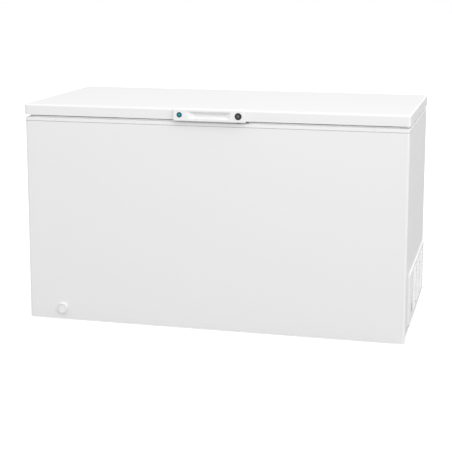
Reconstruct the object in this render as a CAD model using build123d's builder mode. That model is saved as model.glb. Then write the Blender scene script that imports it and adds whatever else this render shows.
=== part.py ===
from build123d import *
import math
import os

# Chest freezer with a counterbalanced lid, a side machine room and two hanging baskets.
# Frame: +X to the right, the front faces -Y, +Z up, z = 0 on the floor under the glides.
# All sizes are in millimetres.

os.makedirs("parts", exist_ok=True)

# Cabinet
cabinet_width = 1540.0
cabinet_depth = 724.0
lid_top = 887.0
corner_radius = 10.0
skin = 0.9
side_bottom = 24.0
skirt_bottom = 4.0
wall = 68.0
floor_depth = 70.0
corner_ease = 3.0

# Stack at the top of the cabinet
lid_edge = 43.0
gasket_gap = 9.5
collar_lip = 13.5
collar_seam = 2.0
seam_recess = 0.6
collar_sheet = 3.0
collar_wall = 2.5
collar_inner_lip = 22.0
collar_corner = 131.0
joint_line = 0.8
fit_gap = 0.3

# Inner liner and machine room
liner_sheet = 1.2
liner_radius = 28.0
machine_width = 300.0
machine_height = 262.0
step_wall = 56.0
bulkhead_bend = 6.0

# Base
glide_height = 6.0
glide_radius = 19.0
rail_width = 52.0
rail_sheet = 2.0
rail_from_side = 150.0
rail_setback = 42.0
base_plate_sheet = 2.0

# Back panel
bead_width = 46.0
bead_height = 3.5
bead_spacing = 330.0
bead_margin = 90.0
rear_vent_length = 190.0
rear_vent_height = 7.0
rear_vent_pitch = 20.0
rear_vent_rows = 6

# Side grille and temperature dial
grille_from_front = 118.0
grille_from_back = 10.0
grille_bottom = 34.0
grille_top = 250.0
grille_proud = 5.0
grille_sheet = 2.4
grille_margin = 15.0
grille_bevel = 3.6
louvre_from_front = 268.0
louvre_columns = 3
louvre_rows = 11
louvre_mullion = 12.0
louvre_blade = 2.0
louvre_depth = 9.0
louvre_drop = 9.0
dial_from_front = 212.0
dial_height = 90.0
dial_radius = 18.0
dial_thickness = 9.0
dial_cup_gap = 3.0
dial_cup_depth = 7.0
dial_shaft_radius = 3.0
running_gap = 0.06
thermostat_width = 46.0
thermostat_depth = 34.0
grille_screw_inset = 9.0

# Drain
drain_from_left = 143.0
drain_height = 48.0
drain_back = 150.0
drain_bore = 9.0
drain_tube_wall = 2.0
drain_bend = 24.0
drain_flange_radius = 22.5
drain_flange_proud = 9.0
drain_rim = 4.5
drain_recess = 6.0
drain_cap_sink = 2.5
drain_spigot = 7.0
drain_spigot_wall = 1.5
plug_gap = 0.4
plug_length = 16.0
stopper_radius = 20.0

# Lid
lid_overhang = 3.0
lid_roll = 7.0
lid_flange = 15.0
panel_sheet = 2.0
plug_depth = 18.0
plug_clearance = 14.0
plug_taper = 12.0
plug_radius = 24.0
gasket_inset = 21.0
gasket_width = 16.0
gasket_lip = 11.0
gasket_nose = 6.5
gasket_neck = 9.0
gasket_dart = 3.0
dart_depth = 5.0
channel_wall = 1.5
lamp_length = 130.0
lamp_width = 46.0
lamp_drop = 12.0
lamp_wall = 1.6
lamp_from_front = 210.0
board_sheet = 3.0

# Handle, pilot light and lock
handle_width = 286.0
handle_rise = 3.0
handle_drop = 4.0
handle_reach = 19.0
handle_lip = 9.0
handle_round = 6.0
scoop_width = 176.0
scoop_height = 28.0
scoop_below_top = 11.0
scoop_depth = 16.0
scoop_taper = 6.0
scoop_deep_height = 16.5
scoop_end_slope = 26.0
scoop_end_sweep = 4.0
scoop_ceiling_drop = 13.0
fitting_inset = 25.5
light_radius = 10.5
light_lens_radius = 7.5
light_proud = 1.6
light_barrel_wall = 1.5
lock_radius = 13.5
lock_barrel_radius = 5.5
lock_proud = 2.4
lock_cam_sheet = 3.0
lock_cam_setback = 12.0
lock_arm = 41.0
lock_arm_width = 9.0
lock_tooth = 6.0
lock_housing_wall = 1.5
lock_swing_gap = 3.0

# Hinges
hinge_from_end = 290.0
hinge_setback = 15.0
hinge_rise = 3.0
hinge_sheet = 1.5
hinge_box_width = 40.0
hinge_box_rear = 12.5
hinge_box_length = 130.0
hinge_flange = 14.0
hinge_flange_top = 34.0
hinge_ear_radius = 9.0
leaf_sheet = 2.0
leaf_width = 62.0
leaf_top_gap = 9.0
leaf_ear_gap = 1.5
leaf_screw_spread = 23.5
leaf_screw_heights = (0.35, 0.8)
pin_radius = 4.0
pin_head = 2.0
pin_head_radius = 6.0
hub_radius = 7.0
cam_width = 12.0
cam_base_radius = 5.0
cam_least_reach = 9.0
lid_swing = 85.0
plunger_radius = 8.5
plunger_head = 6.0
plunger_stem_radius = 4.5
plunger_stem = 40.0
spring_radius = 7.6
spring_bore = 5.2
cam_gap = 0.15
screw_radius = 2.0
screw_head_radius = 4.4
screw_head = 2.4

# Sealed circuit
compressor_radius = 82.0
compressor_from_bulkhead = 150.0
compressor_back = 120.0
compressor_seam = 3.0
compressor_body = 86.0
compressor_dome = 42.0
compressor_foot_sheet = 3.0
foot_width = 200.0
foot_depth = 150.0
foot_inset = 18.0
mount_height = 16.0
mount_radius = 14.0
mount_neck = 6.8
bolt_radius = 4.0
bolt_head = 6.0
terminal_width = 70.0
terminal_depth = 46.0
terminal_height = 64.0
condenser_radius = 3.0
condenser_runs = 6
condenser_above_machine = 114.0
condenser_below_top = 75.5
condenser_from_left = 130.0
condenser_from_right = 170.0
condenser_inlet_from_right = 130.0
condenser_outlet_from_right = 64.0
condenser_bend = 20.0
evaporator_radius = 4.0
evaporator_runs = 6
evaporator_above_step = 82.0
evaporator_below_top = 71.5
evaporator_from_right = 180.0
evaporator_tail_from_right = 130.0
evaporator_bend_share = 0.39
coil_gap = 0.4
chase_from_right = 162.0
chase_width = 86.0
chase_depth = 30.0
drier_radius = 9.0
drier_length = 120.0
drier_drop = 46.0
capillary_radius = 1.2
suction_radius = 4.0
suction_step = 36.0
capillary_step = 13.0
discharge_radius = 3.0
line_bend = 14.0

# Cord inlet
gland_from_bulkhead = 70.0
gland_height = 66.0
gland_radius = 10.0
gland_bore = 4.5
gland_flange = 4.0

# Baskets
basket_length = 330.0
basket_depth = 200.0
basket_rim_below_collar = 31.0
basket_side_gap = 9.0
basket_end_gap = 12.0
basket_wire = 2.0
basket_rim_wire = 2.8
basket_hook_wire = 2.4
basket_weld = 0.8
basket_bend = 10.0
basket_bend_tail = 4.0
basket_cross_wires = 6
basket_long_wires = 5
basket_hook_reach = 18.0
basket_hook_from_end = 60.0

# Places worked out from the sizes
half_width = cabinet_width / 2
half_depth = cabinet_depth / 2
lid_bottom = lid_top - lid_edge
collar_top = lid_bottom - gasket_gap
collar_bottom = collar_top - collar_lip
collar_seat = collar_top - collar_sheet
wrapper_top = collar_bottom - collar_seam
base_top = side_bottom + skin
inside_x = half_width - wall
inside_y = half_depth - wall
inside_floor = side_bottom + floor_depth
collar_inside_x = inside_x - fit_gap - collar_wall
collar_inside_y = inside_y - fit_gap - collar_wall
machine_left = half_width - machine_width
machine_top = side_bottom + machine_height
step_left = machine_left - step_wall
step_top = machine_top + step_wall
lid_width = cabinet_width + 2 * lid_overhang
lid_depth = cabinet_depth + 2 * lid_overhang
lid_corner = corner_radius + lid_overhang
lid_front = half_depth + lid_overhang
panel_bottom = lid_bottom + skin
panel_top = panel_bottom + panel_sheet
inner_depth = cabinet_depth - 2 * skin
back_inside = half_depth - skin
condenser_left = condenser_from_left - half_width
condenser_right = half_width - condenser_from_right
condenser_inlet = half_width - condenser_inlet_from_right
condenser_outlet = half_width - condenser_outlet_from_right
condenser_low = machine_top + condenser_above_machine
condenser_pitch = (wrapper_top - condenser_below_top - condenser_low) / (condenser_runs - 1)
evaporator_right = half_width - evaporator_from_right
evaporator_tail = half_width - evaporator_tail_from_right
evaporator_low = step_top + evaporator_above_step
evaporator_pitch = (wrapper_top - evaporator_below_top - evaporator_low) / (evaporator_runs - 1)
evaporator_bend = evaporator_bend_share * evaporator_pitch
chase_left = half_width - chase_from_right
chase_right = chase_left + chase_width


def save(piece, name):
    """Name a finished piece and write it to its own file."""
    piece.label = name
    export_step(piece, f"parts/{name}.step")


def rounded_ring(width, depth, radius, inset, thickness):
    """Draw a rectangular ring, inset from an outline with rounded corners."""
    outer_radius = max(radius - inset, 1.0)
    RectangleRounded(width - 2 * inset, depth - 2 * inset, outer_radius)
    inner = inset + thickness
    inner_radius = max(radius - inner, 1.0)
    RectangleRounded(width - 2 * inner, depth - 2 * inner, inner_radius, mode=Mode.SUBTRACT)


def tube(points, bend, radius, bore=0.0):
    """Make a tube along straight runs joined by tangent arcs."""
    with BuildPart() as pipe:
        with BuildLine() as route:
            FilletPolyline(*points, radius=bend)
        start = Plane(origin=route.line @ 0, z_dir=route.line % 0)
        with BuildSketch(start):
            Circle(radius)
            if bore:
                Circle(bore, mode=Mode.SUBTRACT)
        sweep(path=route.line)
    return pipe.part


def rod(start, end, radius):
    """Make a straight round wire between two points."""
    way = Vector(*end) - Vector(*start)
    with BuildPart() as wire:
        with BuildSketch(Plane(origin=start, z_dir=way)):
            Circle(radius)
        extrude(amount=way.length)
    return wire.part


def weld(wires):
    """Join the wires of one flat panel."""
    with BuildPart() as panel:
        add(wires)
    return panel.part.solids()


# Cabinet skin: the front and both sides, bent from one sheet
grille_front = -half_depth + grille_from_front
grille_back = half_depth - grille_from_back
grille_length = grille_back - grille_front
grille_height = grille_top - grille_bottom
grille_mid_y = (grille_front + grille_back) / 2
grille_mid_z = (grille_bottom + grille_top) / 2
drain_x = -half_width + drain_from_left
spigot_radius = drain_bore + drain_tube_wall + drain_spigot_wall


def skin_strip():
    """Draw the bent front and side sheet in plan."""
    reach = cabinet_depth + 2 * corner_radius
    with Locations((0, corner_radius)):
        RectangleRounded(cabinet_width, reach, corner_radius)
    with Locations((0, corner_radius + skin)):
        RectangleRounded(cabinet_width - 2 * skin, reach, corner_radius - skin, mode=Mode.SUBTRACT)


with BuildPart() as cabinet_skin:
    with BuildSketch(Plane.XY.offset(side_bottom)):
        skin_strip()
        Rectangle(cabinet_width, cabinet_depth, mode=Mode.INTERSECT)
    extrude(amount=wrapper_top - side_bottom)
    with BuildSketch(Plane.XY.offset(skirt_bottom)):
        skin_strip()
        with Locations((0, -half_depth + corner_radius / 2)):
            Rectangle(cabinet_width, corner_radius, mode=Mode.INTERSECT)
    extrude(amount=side_bottom - skirt_bottom)
    with BuildSketch(Plane.YZ.offset(half_width)):
        with Locations((grille_mid_y, grille_mid_z)):
            Rectangle(grille_length - 2 * grille_margin, grille_height - 2 * grille_margin)
    extrude(amount=-2 * skin, mode=Mode.SUBTRACT)
    with BuildSketch(Plane.XZ.offset(half_depth)):
        with Locations((drain_x, drain_height)):
            Circle(spigot_radius + fit_gap)
    extrude(amount=-2 * skin, mode=Mode.SUBTRACT)
save(cabinet_skin.part, "cabinet_skin")

# Back panel: sheet with pressed stiffening beads, vents for the machine room and hinge screw holes
machine_mid = machine_left + machine_width / 2
bead_length = wrapper_top - machine_top - 2 * bead_margin
bead_middle = (wrapper_top + machine_top) / 2
hinge_y = half_depth + hinge_setback
hinge_z = lid_bottom + hinge_rise
hinge_box_bottom = hinge_z - hinge_box_length
hinge_screw_x = hinge_box_width / 2 + hinge_flange / 2
hinge_screw_low = hinge_box_bottom + hinge_flange
hinge_screw_high = hinge_z - hinge_flange_top - hinge_flange
gland_x = machine_left + gland_from_bulkhead
hinge_offset = half_width - hinge_from_end
hinge_sides = (-hinge_offset, hinge_offset)
cabinet_screws = [
    (side + step, height)
    for side in hinge_sides
    for step in (-hinge_screw_x, hinge_screw_x)
    for height in (hinge_screw_low, hinge_screw_high)
]
with BuildPart() as back_panel:
    with BuildSketch(Plane.XZ.offset(-half_depth)):
        with Locations((0, (side_bottom + wrapper_top) / 2)):
            Rectangle(cabinet_width - 2 * skin, wrapper_top - side_bottom)
    extrude(amount=skin)
    with BuildSketch(Plane.XZ.offset(-half_depth)):
        with Locations((0, bead_middle)):
            with GridLocations(bead_spacing, 1, 3, 1):
                SlotOverall(bead_length, bead_width, rotation=90)
    extrude(amount=-bead_height)
    bead_tops = back_panel.faces().sort_by(Axis.Y)[-3:]
    fillet(bead_tops.edges(), bead_height * 0.8)
    with BuildSketch(Plane.XZ.offset(-half_depth)):
        with Locations((machine_mid, grille_mid_z)):
            with GridLocations(1, rear_vent_pitch, 1, rear_vent_rows):
                SlotOverall(rear_vent_length, rear_vent_height)
        with Locations((gland_x, gland_height)):
            Circle(gland_radius + running_gap)
        with Locations(*cabinet_screws):
            Circle(screw_radius + running_gap)
    extrude(amount=skin, mode=Mode.SUBTRACT)
save(back_panel.part, "back_panel")

# Base pan under the insulated part of the cabinet
pan_left = -half_width + skin
pan_right = machine_left - skin
with BuildPart() as base_pan:
    with BuildSketch(Plane.XY.offset(side_bottom)):
        with Locations(((pan_left + pan_right) / 2, 0)):
            RectangleRounded(pan_right - pan_left, inner_depth, corner_radius + corner_ease)
    extrude(amount=skin)
save(base_pan.part, "base_pan")

# Base rails: folded channels that carry the cabinet clear of the floor
rail_height = side_bottom - glide_height
rail_length = cabinet_depth - 2 * rail_setback
rail_places = (-half_width + rail_from_side, half_width - rail_from_side)
with BuildPart() as base_rails:
    with BuildSketch(Plane.XZ):
        with Locations(*[(x, glide_height + rail_height / 2) for x in rail_places]):
            Rectangle(rail_width, rail_height)
            Rectangle(rail_width - 2 * rail_sheet, rail_height - 2 * rail_sheet, mode=Mode.SUBTRACT)
    extrude(amount=rail_length / 2, both=True)
save(base_rails.part, "base_rails")

# Glides under the rail ends
glide_y = rail_length / 2 - glide_radius
with BuildPart() as rail_glides:
    with BuildSketch():
        with Locations(*[(x, y) for x in rail_places for y in (-glide_y, glide_y)]):
            Circle(glide_radius)
    extrude(amount=glide_height)
    glide_rims = rail_glides.edges().group_by(Axis.Z)[0]
    chamfer(glide_rims, glide_height / 4)
save(rail_glides.part, "rail_glides")

# Bulkhead: bent sheet between the foam and the machine room
suction_x = evaporator_tail + suction_step
capillary_x = evaporator_tail + capillary_step
circuit_y = inside_y + liner_sheet + evaporator_radius + coil_gap
condenser_y = back_inside - condenser_radius - coil_gap
with BuildPart() as bulkhead:
    with BuildSketch(Plane.XZ):
        with BuildLine():
            Polyline(
                (machine_left, side_bottom),
                (machine_left, machine_top),
                (half_width - skin, machine_top),
                (half_width - skin, machine_top + skin),
                (machine_left - skin, machine_top + skin),
                (machine_left - skin, side_bottom),
                close=True,
            )
        make_face()
    extrude(amount=back_inside, both=True)
    inner_bend = bulkhead.edges().filter_by(Axis.Y).sort_by_distance((machine_left, 0, machine_top))[0]
    fillet(inner_bend, bulkhead_bend)
    outer_bend = bulkhead.edges().filter_by(Axis.Y).sort_by_distance(
        (machine_left - skin, 0, machine_top + skin)
    )[0]
    fillet(outer_bend, bulkhead_bend + skin)
    skin_point = (half_width, -half_depth, machine_top)
    skin_corner = bulkhead.edges().filter_by(Axis.Z).sort_by_distance(skin_point)[0]
    fillet(skin_corner, corner_radius + corner_ease)
    with BuildSketch(Plane.XY.offset(machine_top)):
        with Locations((condenser_inlet, condenser_y), (condenser_outlet, condenser_y)):
            Rectangle(4 * condenser_radius, 4 * condenser_radius)
        with Locations((suction_x, circuit_y)):
            Circle(suction_radius + coil_gap)
        with Locations((capillary_x, circuit_y)):
            Circle(capillary_radius + coil_gap)
    extrude(amount=skin, mode=Mode.SUBTRACT)
save(bulkhead.part, "bulkhead")


def storage_block(grow):
    """Make the storage space as a block, grown on every side but the top."""
    with BuildPart() as block:
        with BuildSketch(Plane.XZ):
            with BuildLine():
                Polyline(
                    (-inside_x - grow, collar_seat),
                    (-inside_x - grow, inside_floor - grow),
                    (step_left + grow, inside_floor - grow),
                    (step_left + grow, step_top - grow),
                    (inside_x + grow, step_top - grow),
                    (inside_x + grow, collar_seat),
                    close=True,
                )
            make_face()
        extrude(amount=inside_y + grow, both=True)
        fillet(block.edges().filter_by(Axis.Z), liner_radius + grow)
    return block.part


# Inner liner: folded aluminium tub with the step over the machine room
stopper_y = -half_depth + drain_back
with BuildPart() as inner_liner:
    add(storage_block(liner_sheet))
    add(storage_block(0.0), mode=Mode.SUBTRACT)
    with BuildSketch(Plane.XY.offset(inside_floor - liner_sheet)):
        with Locations((drain_x, stopper_y)):
            Circle(drain_bore)
    extrude(amount=liner_sheet, mode=Mode.SUBTRACT)
save(inner_liner.part, "inner_liner")

# Drain tube: from the liner floor, through the foam, to the outlet on the front
spigot_back = -half_depth + drain_spigot
drain_route = [
    (drain_x, spigot_back, drain_height),
    (drain_x, stopper_y, drain_height),
    (drain_x, stopper_y, inside_floor - liner_sheet),
]
drain_tube_radius = drain_bore + drain_tube_wall
drain_tube = tube(drain_route, drain_bend, drain_tube_radius, drain_bore)
save(drain_tube, "drain_tube")

# Lock slot, shared by the collar, the foam under it and the lid's underside
handle_bottom = lid_bottom - handle_drop
handle_top = lid_top + handle_rise
lock_x = handle_width / 2 - fitting_inset
lock_z = (handle_bottom + handle_top) / 2
cam_front = -lid_front + lock_cam_setback
cam_back = cam_front + lock_cam_sheet
slot_y = (cam_front + cam_back) / 2
slot_depth = lock_cam_sheet + 2 * lock_swing_gap
lock_pocket_bottom = lock_z - lock_arm - 2 * lock_swing_gap


def slot_at(height, tooth_room):
    """Draw the slot that the lock arm sweeps through at a height."""
    drop = lock_z - height
    reach = math.sqrt(lock_arm**2 - drop**2) + lock_swing_gap
    left = lock_x - lock_arm_width / 2 - lock_swing_gap - tooth_room
    right = lock_x + reach + lock_arm_width / 2
    with Locations(((left + right) / 2, slot_y)):
        Rectangle(right - left, slot_depth)


# Cabinet foam between the skins and the liner
coil_channel = 2 * evaporator_radius + 2 * coil_gap
liner_outside_x = inside_x + liner_sheet
liner_outside_y = inside_y + liner_sheet
evaporator_heights = [evaporator_low + n * evaporator_pitch for n in range(evaporator_runs)]
evaporator_high = evaporator_heights[-1]
condenser_high = condenser_low + (condenser_runs - 1) * condenser_pitch
condenser_channel = 2 * condenser_radius + 2 * coil_gap
turn_room = evaporator_bend + coil_channel
with BuildPart() as cabinet_foam:
    with BuildSketch(Plane.XY.offset(base_top)):
        RectangleRounded(cabinet_width - 2 * skin, inner_depth, corner_radius + corner_ease)
    extrude(amount=wrapper_top - base_top)
    with BuildSketch(Plane.XY.offset(wrapper_top)):
        neck = collar_wall + fit_gap
        RectangleRounded(cabinet_width - 2 * neck, cabinet_depth - 2 * neck, corner_radius + corner_ease)
    extrude(amount=collar_seat - wrapper_top)
    add(storage_block(liner_sheet), mode=Mode.SUBTRACT)
    # Machine room
    with BuildSketch(Plane.XZ):
        room_left = machine_left - skin
        room_top = machine_top + skin
        with Locations(((room_left + half_width) / 2, room_top / 2)):
            Rectangle(half_width - room_left, room_top)
    extrude(amount=half_depth, both=True, mode=Mode.SUBTRACT)
    # Channels that hold the evaporator against the liner
    for height in evaporator_heights:
        with BuildSketch(Plane.XY.offset(height - coil_channel / 2)):
            RectangleRounded(
                2 * (liner_outside_x + coil_channel),
                2 * (liner_outside_y + coil_channel),
                liner_radius + coil_channel,
            )
            with Locations((half_width + evaporator_right, 0)):
                Rectangle(cabinet_width, cabinet_depth, mode=Mode.SUBTRACT)
        extrude(amount=coil_channel, mode=Mode.SUBTRACT)
    with BuildSketch(Plane.XZ):
        with Locations((evaporator_right - turn_room / 2, (evaporator_low + evaporator_high) / 2)):
            Rectangle(turn_room + coil_channel, evaporator_high - evaporator_low + coil_channel)
    extrude(amount=liner_outside_y + coil_channel, both=True, mode=Mode.SUBTRACT)
    # Pipe chase behind the liner, and the recess for the condenser behind the back panel
    with BuildSketch(Plane.XZ.offset(-liner_outside_y)):
        with Locations(((chase_left + chase_right) / 2, (machine_top + evaporator_high + turn_room) / 2)):
            Rectangle(chase_right - chase_left, evaporator_high + turn_room - machine_top)
        with Locations(((evaporator_right + chase_right) / 2, (evaporator_low + evaporator_high) / 2)):
            Rectangle(chase_right - evaporator_right, evaporator_high - evaporator_low + 2 * coil_channel)
    extrude(amount=-chase_depth, mode=Mode.SUBTRACT)
    with BuildSketch(Plane.XZ.offset(-back_inside)):
        recess_left = condenser_left - 2 * condenser_channel
        recess_right = condenser_outlet + 2 * condenser_channel
        recess_low = condenser_low - condenser_channel
        recess_high = condenser_high + condenser_channel
        with Locations(((recess_left + recess_right) / 2, (recess_low + recess_high) / 2)):
            Rectangle(recess_right - recess_left, recess_high - recess_low)
        drop_left = condenser_inlet - 2 * condenser_channel
        with Locations(((drop_left + recess_right) / 2, (machine_top + recess_low) / 2)):
            Rectangle(recess_right - drop_left, recess_low - machine_top)
    extrude(amount=condenser_channel, mode=Mode.SUBTRACT)
    # Drain passage and lock pocket
    with BuildSketch(Plane.XZ.offset(half_depth)):
        with Locations((drain_x, drain_height)):
            Circle(spigot_radius + fit_gap)
    extrude(amount=-drain_spigot - fit_gap, mode=Mode.SUBTRACT)
    add(tube(drain_route, drain_bend, drain_tube_radius + fit_gap), mode=Mode.SUBTRACT)
    with BuildSketch(Plane.XY.offset(lock_pocket_bottom)):
        slot_at(collar_top, lock_tooth)
    extrude(amount=collar_seat - lock_pocket_bottom, mode=Mode.SUBTRACT)
save(cabinet_foam.part, "cabinet_foam")

# Collar: a trim channel over the top of the walls, in four strips and four corners
with BuildPart() as collar_ring:
    with BuildSketch(Plane.XY.offset(collar_seat)):
        RectangleRounded(cabinet_width, cabinet_depth, corner_radius)
        inside_corner = liner_radius - collar_wall
        RectangleRounded(2 * collar_inside_x, 2 * collar_inside_y, inside_corner, mode=Mode.SUBTRACT)
    extrude(amount=collar_sheet)
    with BuildSketch(Plane.XY.offset(collar_bottom)):
        rounded_ring(cabinet_width, cabinet_depth, corner_radius, 0, collar_wall)
    extrude(amount=collar_seat - collar_bottom)
    with BuildSketch(Plane.XY.offset(collar_top - collar_inner_lip)):
        lip_width = 2 * (collar_inside_x + collar_wall)
        lip_depth = 2 * (collar_inside_y + collar_wall)
        rounded_ring(lip_width, lip_depth, liner_radius, 0, collar_wall)
    extrude(amount=collar_seat - collar_top + collar_inner_lip)
    top_edges = collar_ring.faces().sort_by(Axis.Z)[-1].edges()
    fillet(top_edges, collar_sheet * 0.6)
    with BuildSketch(Plane.XY.offset(collar_seat)):
        slot_at(collar_top, 0)
    extrude(amount=collar_sheet, mode=Mode.SUBTRACT)

strip_half_x = half_width - collar_corner - joint_line / 2
strip_half_y = half_depth - collar_corner - joint_line / 2
collar_height = 2 * lid_top
strip_depth = wall + 2 * collar_wall + liner_radius
collar_cuts = {
    "collar_front": ((0, -half_depth), (2 * strip_half_x, 2 * strip_depth)),
    "collar_back": ((0, half_depth), (2 * strip_half_x, 2 * strip_depth)),
    "collar_left": ((-half_width, 0), (2 * strip_depth, 2 * strip_half_y)),
    "collar_right": ((half_width, 0), (2 * strip_depth, 2 * strip_half_y)),
}
for name, (place, size) in collar_cuts.items():
    with BuildPart() as collar_strip:
        add(collar_ring.part)
        with Locations((*place, 0)):
            Box(*size, collar_height, mode=Mode.INTERSECT)
    save(collar_strip.part, name)
corner_reach = collar_corner - joint_line / 2
with BuildPart() as collar_corners:
    add(collar_ring.part)
    with GridLocations(cabinet_width, cabinet_depth, 2, 2):
        Box(2 * corner_reach, 2 * corner_reach, collar_height, mode=Mode.INTERSECT)
save(collar_corners.part, "collar_corners")

# Seam strip that closes the joint between the skin's top edge and the collar
with BuildPart() as seam_strip:
    with BuildSketch(Plane.XY.offset(wrapper_top)):
        rounded_ring(cabinet_width, cabinet_depth, corner_radius, seam_recess, collar_wall - seam_recess)
    extrude(amount=collar_seam)
save(seam_strip.part, "seam_strip")

# Drain outlet: flange with a recessed centre, and its pull-off cap
with BuildPart() as drain_flange:
    with BuildSketch(Plane.XZ.offset(half_depth)):
        with Locations((drain_x, drain_height)):
            Circle(drain_flange_radius)
    extrude(amount=drain_flange_proud)
    rim_edges = drain_flange.edges().group_by(Axis.Y)[0]
    fillet(rim_edges, drain_flange_proud / 3)
    with BuildSketch(Plane.XZ.offset(half_depth)):
        with Locations((drain_x, drain_height)):
            Circle(spigot_radius)
    extrude(amount=-drain_spigot)
    with BuildSketch(Plane.XZ.offset(half_depth + drain_flange_proud)):
        with Locations((drain_x, drain_height)):
            Circle(drain_flange_radius - drain_rim)
    extrude(amount=-drain_recess, mode=Mode.SUBTRACT)
    with BuildSketch(Plane.XZ.offset(half_depth + drain_flange_proud)):
        with Locations((drain_x, drain_height)):
            Circle(drain_bore)
    extrude(amount=-drain_flange_proud - drain_spigot, mode=Mode.SUBTRACT)
save(drain_flange.part, "drain_flange")

cap_radius = drain_flange_radius - drain_rim - plug_gap
cap_seat = half_depth + drain_flange_proud - drain_recess
cap_thickness = drain_recess - drain_cap_sink
with BuildPart() as drain_cap:
    with BuildSketch(Plane.XZ.offset(cap_seat)):
        with Locations((drain_x, drain_height)):
            Circle(cap_radius)
    extrude(amount=cap_thickness)
    cap_edges = drain_cap.edges().group_by(Axis.Y)[0]
    fillet(cap_edges, cap_thickness / 3)
    with BuildSketch(Plane.XZ.offset(cap_seat + cap_thickness)):
        with Locations((drain_x, drain_height)):
            SlotOverall(2 * drain_bore, drain_bore / 3)
    extrude(amount=-cap_thickness / 2, mode=Mode.SUBTRACT)
    with BuildSketch(Plane.XZ.offset(cap_seat)):
        with Locations((drain_x, drain_height)):
            Circle(drain_bore - plug_gap)
    extrude(amount=-plug_length)
save(drain_cap.part, "drain_cap")

# Stopper in the liner floor
with BuildPart() as drain_stopper:
    with BuildSketch(Plane.XY.offset(inside_floor)):
        with Locations((drain_x, stopper_y)):
            Circle(stopper_radius)
    extrude(amount=drain_rim)
    stopper_edges = drain_stopper.edges().group_by(Axis.Z)[-1]
    fillet(stopper_edges, drain_rim / 2)
    with BuildSketch(Plane.XY.offset(inside_floor)):
        with Locations((drain_x, stopper_y)):
            Circle(drain_bore - plug_gap)
    extrude(amount=-plug_length)
save(drain_stopper.part, "drain_stopper")

# Machine room floor
foot_x = machine_left + compressor_from_bulkhead
foot_y = compressor_back
foot_half_x = foot_width / 2 - foot_inset
foot_half_y = foot_depth / 2 - foot_inset
mount_places = [
    (foot_x + x, foot_y + y) for x in (-foot_half_x, foot_half_x) for y in (-foot_half_y, foot_half_y)
]
plate_left = machine_left
plate_right = half_width - skin
with BuildPart() as machine_base:
    with BuildSketch(Plane.XY.offset(side_bottom)):
        with Locations(((plate_left + plate_right) / 2, 0)):
            RectangleRounded(plate_right - plate_left, inner_depth, corner_radius + corner_ease)
        with Locations(*mount_places):
            Circle(bolt_radius + running_gap, mode=Mode.SUBTRACT)
    extrude(amount=base_plate_sheet)
save(machine_base.part, "machine_base")

# Compressor: drawn steel pot with a seam flange, on a foot plate
foot_bottom = side_bottom + base_plate_sheet + mount_height
pot_bottom = foot_bottom - compressor_foot_sheet
seam_z = foot_bottom + compressor_dome + compressor_body / 2
pot_top = foot_bottom + compressor_dome * 2 + compressor_body
dome_start = foot_bottom + compressor_dome
dome_end = dome_start + compressor_body
with BuildPart() as compressor:
    with BuildSketch(Plane.XZ.offset(-foot_y)):
        with BuildLine():
            Spline(
                (foot_x, pot_bottom),
                (foot_x + compressor_radius, dome_start),
                tangents=((1, 0), (0, 1)),
            )
            Polyline(
                (foot_x + compressor_radius, dome_start),
                (foot_x + compressor_radius, seam_z - compressor_seam),
                (foot_x + compressor_radius + compressor_seam, seam_z - compressor_seam),
                (foot_x + compressor_radius + compressor_seam, seam_z + compressor_seam),
                (foot_x + compressor_radius, seam_z + compressor_seam),
                (foot_x + compressor_radius, dome_end),
            )
            Spline(
                (foot_x + compressor_radius, dome_end),
                (foot_x, pot_top),
                tangents=((0, 1), (-1, 0)),
            )
            Line((foot_x, pot_top), (foot_x, pot_bottom))
        make_face()
    revolve(axis=Axis((foot_x, foot_y, 0), (0, 0, 1)))
    with BuildSketch(Plane.XY.offset(foot_bottom)):
        with Locations((foot_x, foot_y)):
            RectangleRounded(foot_width, foot_depth, foot_inset)
        with Locations(*mount_places):
            Circle(mount_neck + fit_gap, mode=Mode.SUBTRACT)
    extrude(amount=compressor_foot_sheet)
save(compressor.part, "compressor")

# Rubber mounts and the bolts through them
mount_base = side_bottom + base_plate_sheet
mount_top = foot_bottom + compressor_foot_sheet
mount_cap = mount_height / 4
with BuildPart() as compressor_mounts:
    for low, height, radius in (
        (mount_base, mount_height, mount_radius),
        (foot_bottom, compressor_foot_sheet, mount_neck),
        (mount_top, mount_cap, mount_radius * 0.8),
    ):
        with BuildSketch(Plane.XY.offset(low)):
            with Locations(*mount_places):
                Circle(radius)
                Circle(bolt_radius + running_gap, mode=Mode.SUBTRACT)
        extrude(amount=height)
save(compressor_mounts.part, "compressor_mounts")

with BuildPart() as compressor_bolts:
    with BuildSketch(Plane.XY.offset(side_bottom)):
        with Locations(*mount_places):
            Circle(bolt_radius)
    extrude(amount=mount_top + mount_cap - side_bottom)
    with BuildSketch(Plane.XY.offset(mount_top + mount_cap)):
        with Locations(*mount_places):
            RegularPolygon(2 * bolt_radius, 6)
    extrude(amount=bolt_head)
save(compressor_bolts.part, "compressor_bolts")

# Terminal cover over the relay on the compressor's front
terminal_y = foot_y - compressor_radius - terminal_depth / 2 + compressor_seam
with BuildPart() as terminal_cover:
    with BuildSketch(Plane.XY.offset(dome_start)):
        with Locations((foot_x, terminal_y)):
            RectangleRounded(terminal_width, terminal_depth, 2 * compressor_seam)
        with Locations((foot_x, foot_y)):
            Circle(compressor_radius + compressor_seam + fit_gap, mode=Mode.SUBTRACT)
    extrude(amount=terminal_height)
    fillet(terminal_cover.edges().group_by(Axis.Z)[-1], compressor_seam)
save(terminal_cover.part, "terminal_cover")

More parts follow.
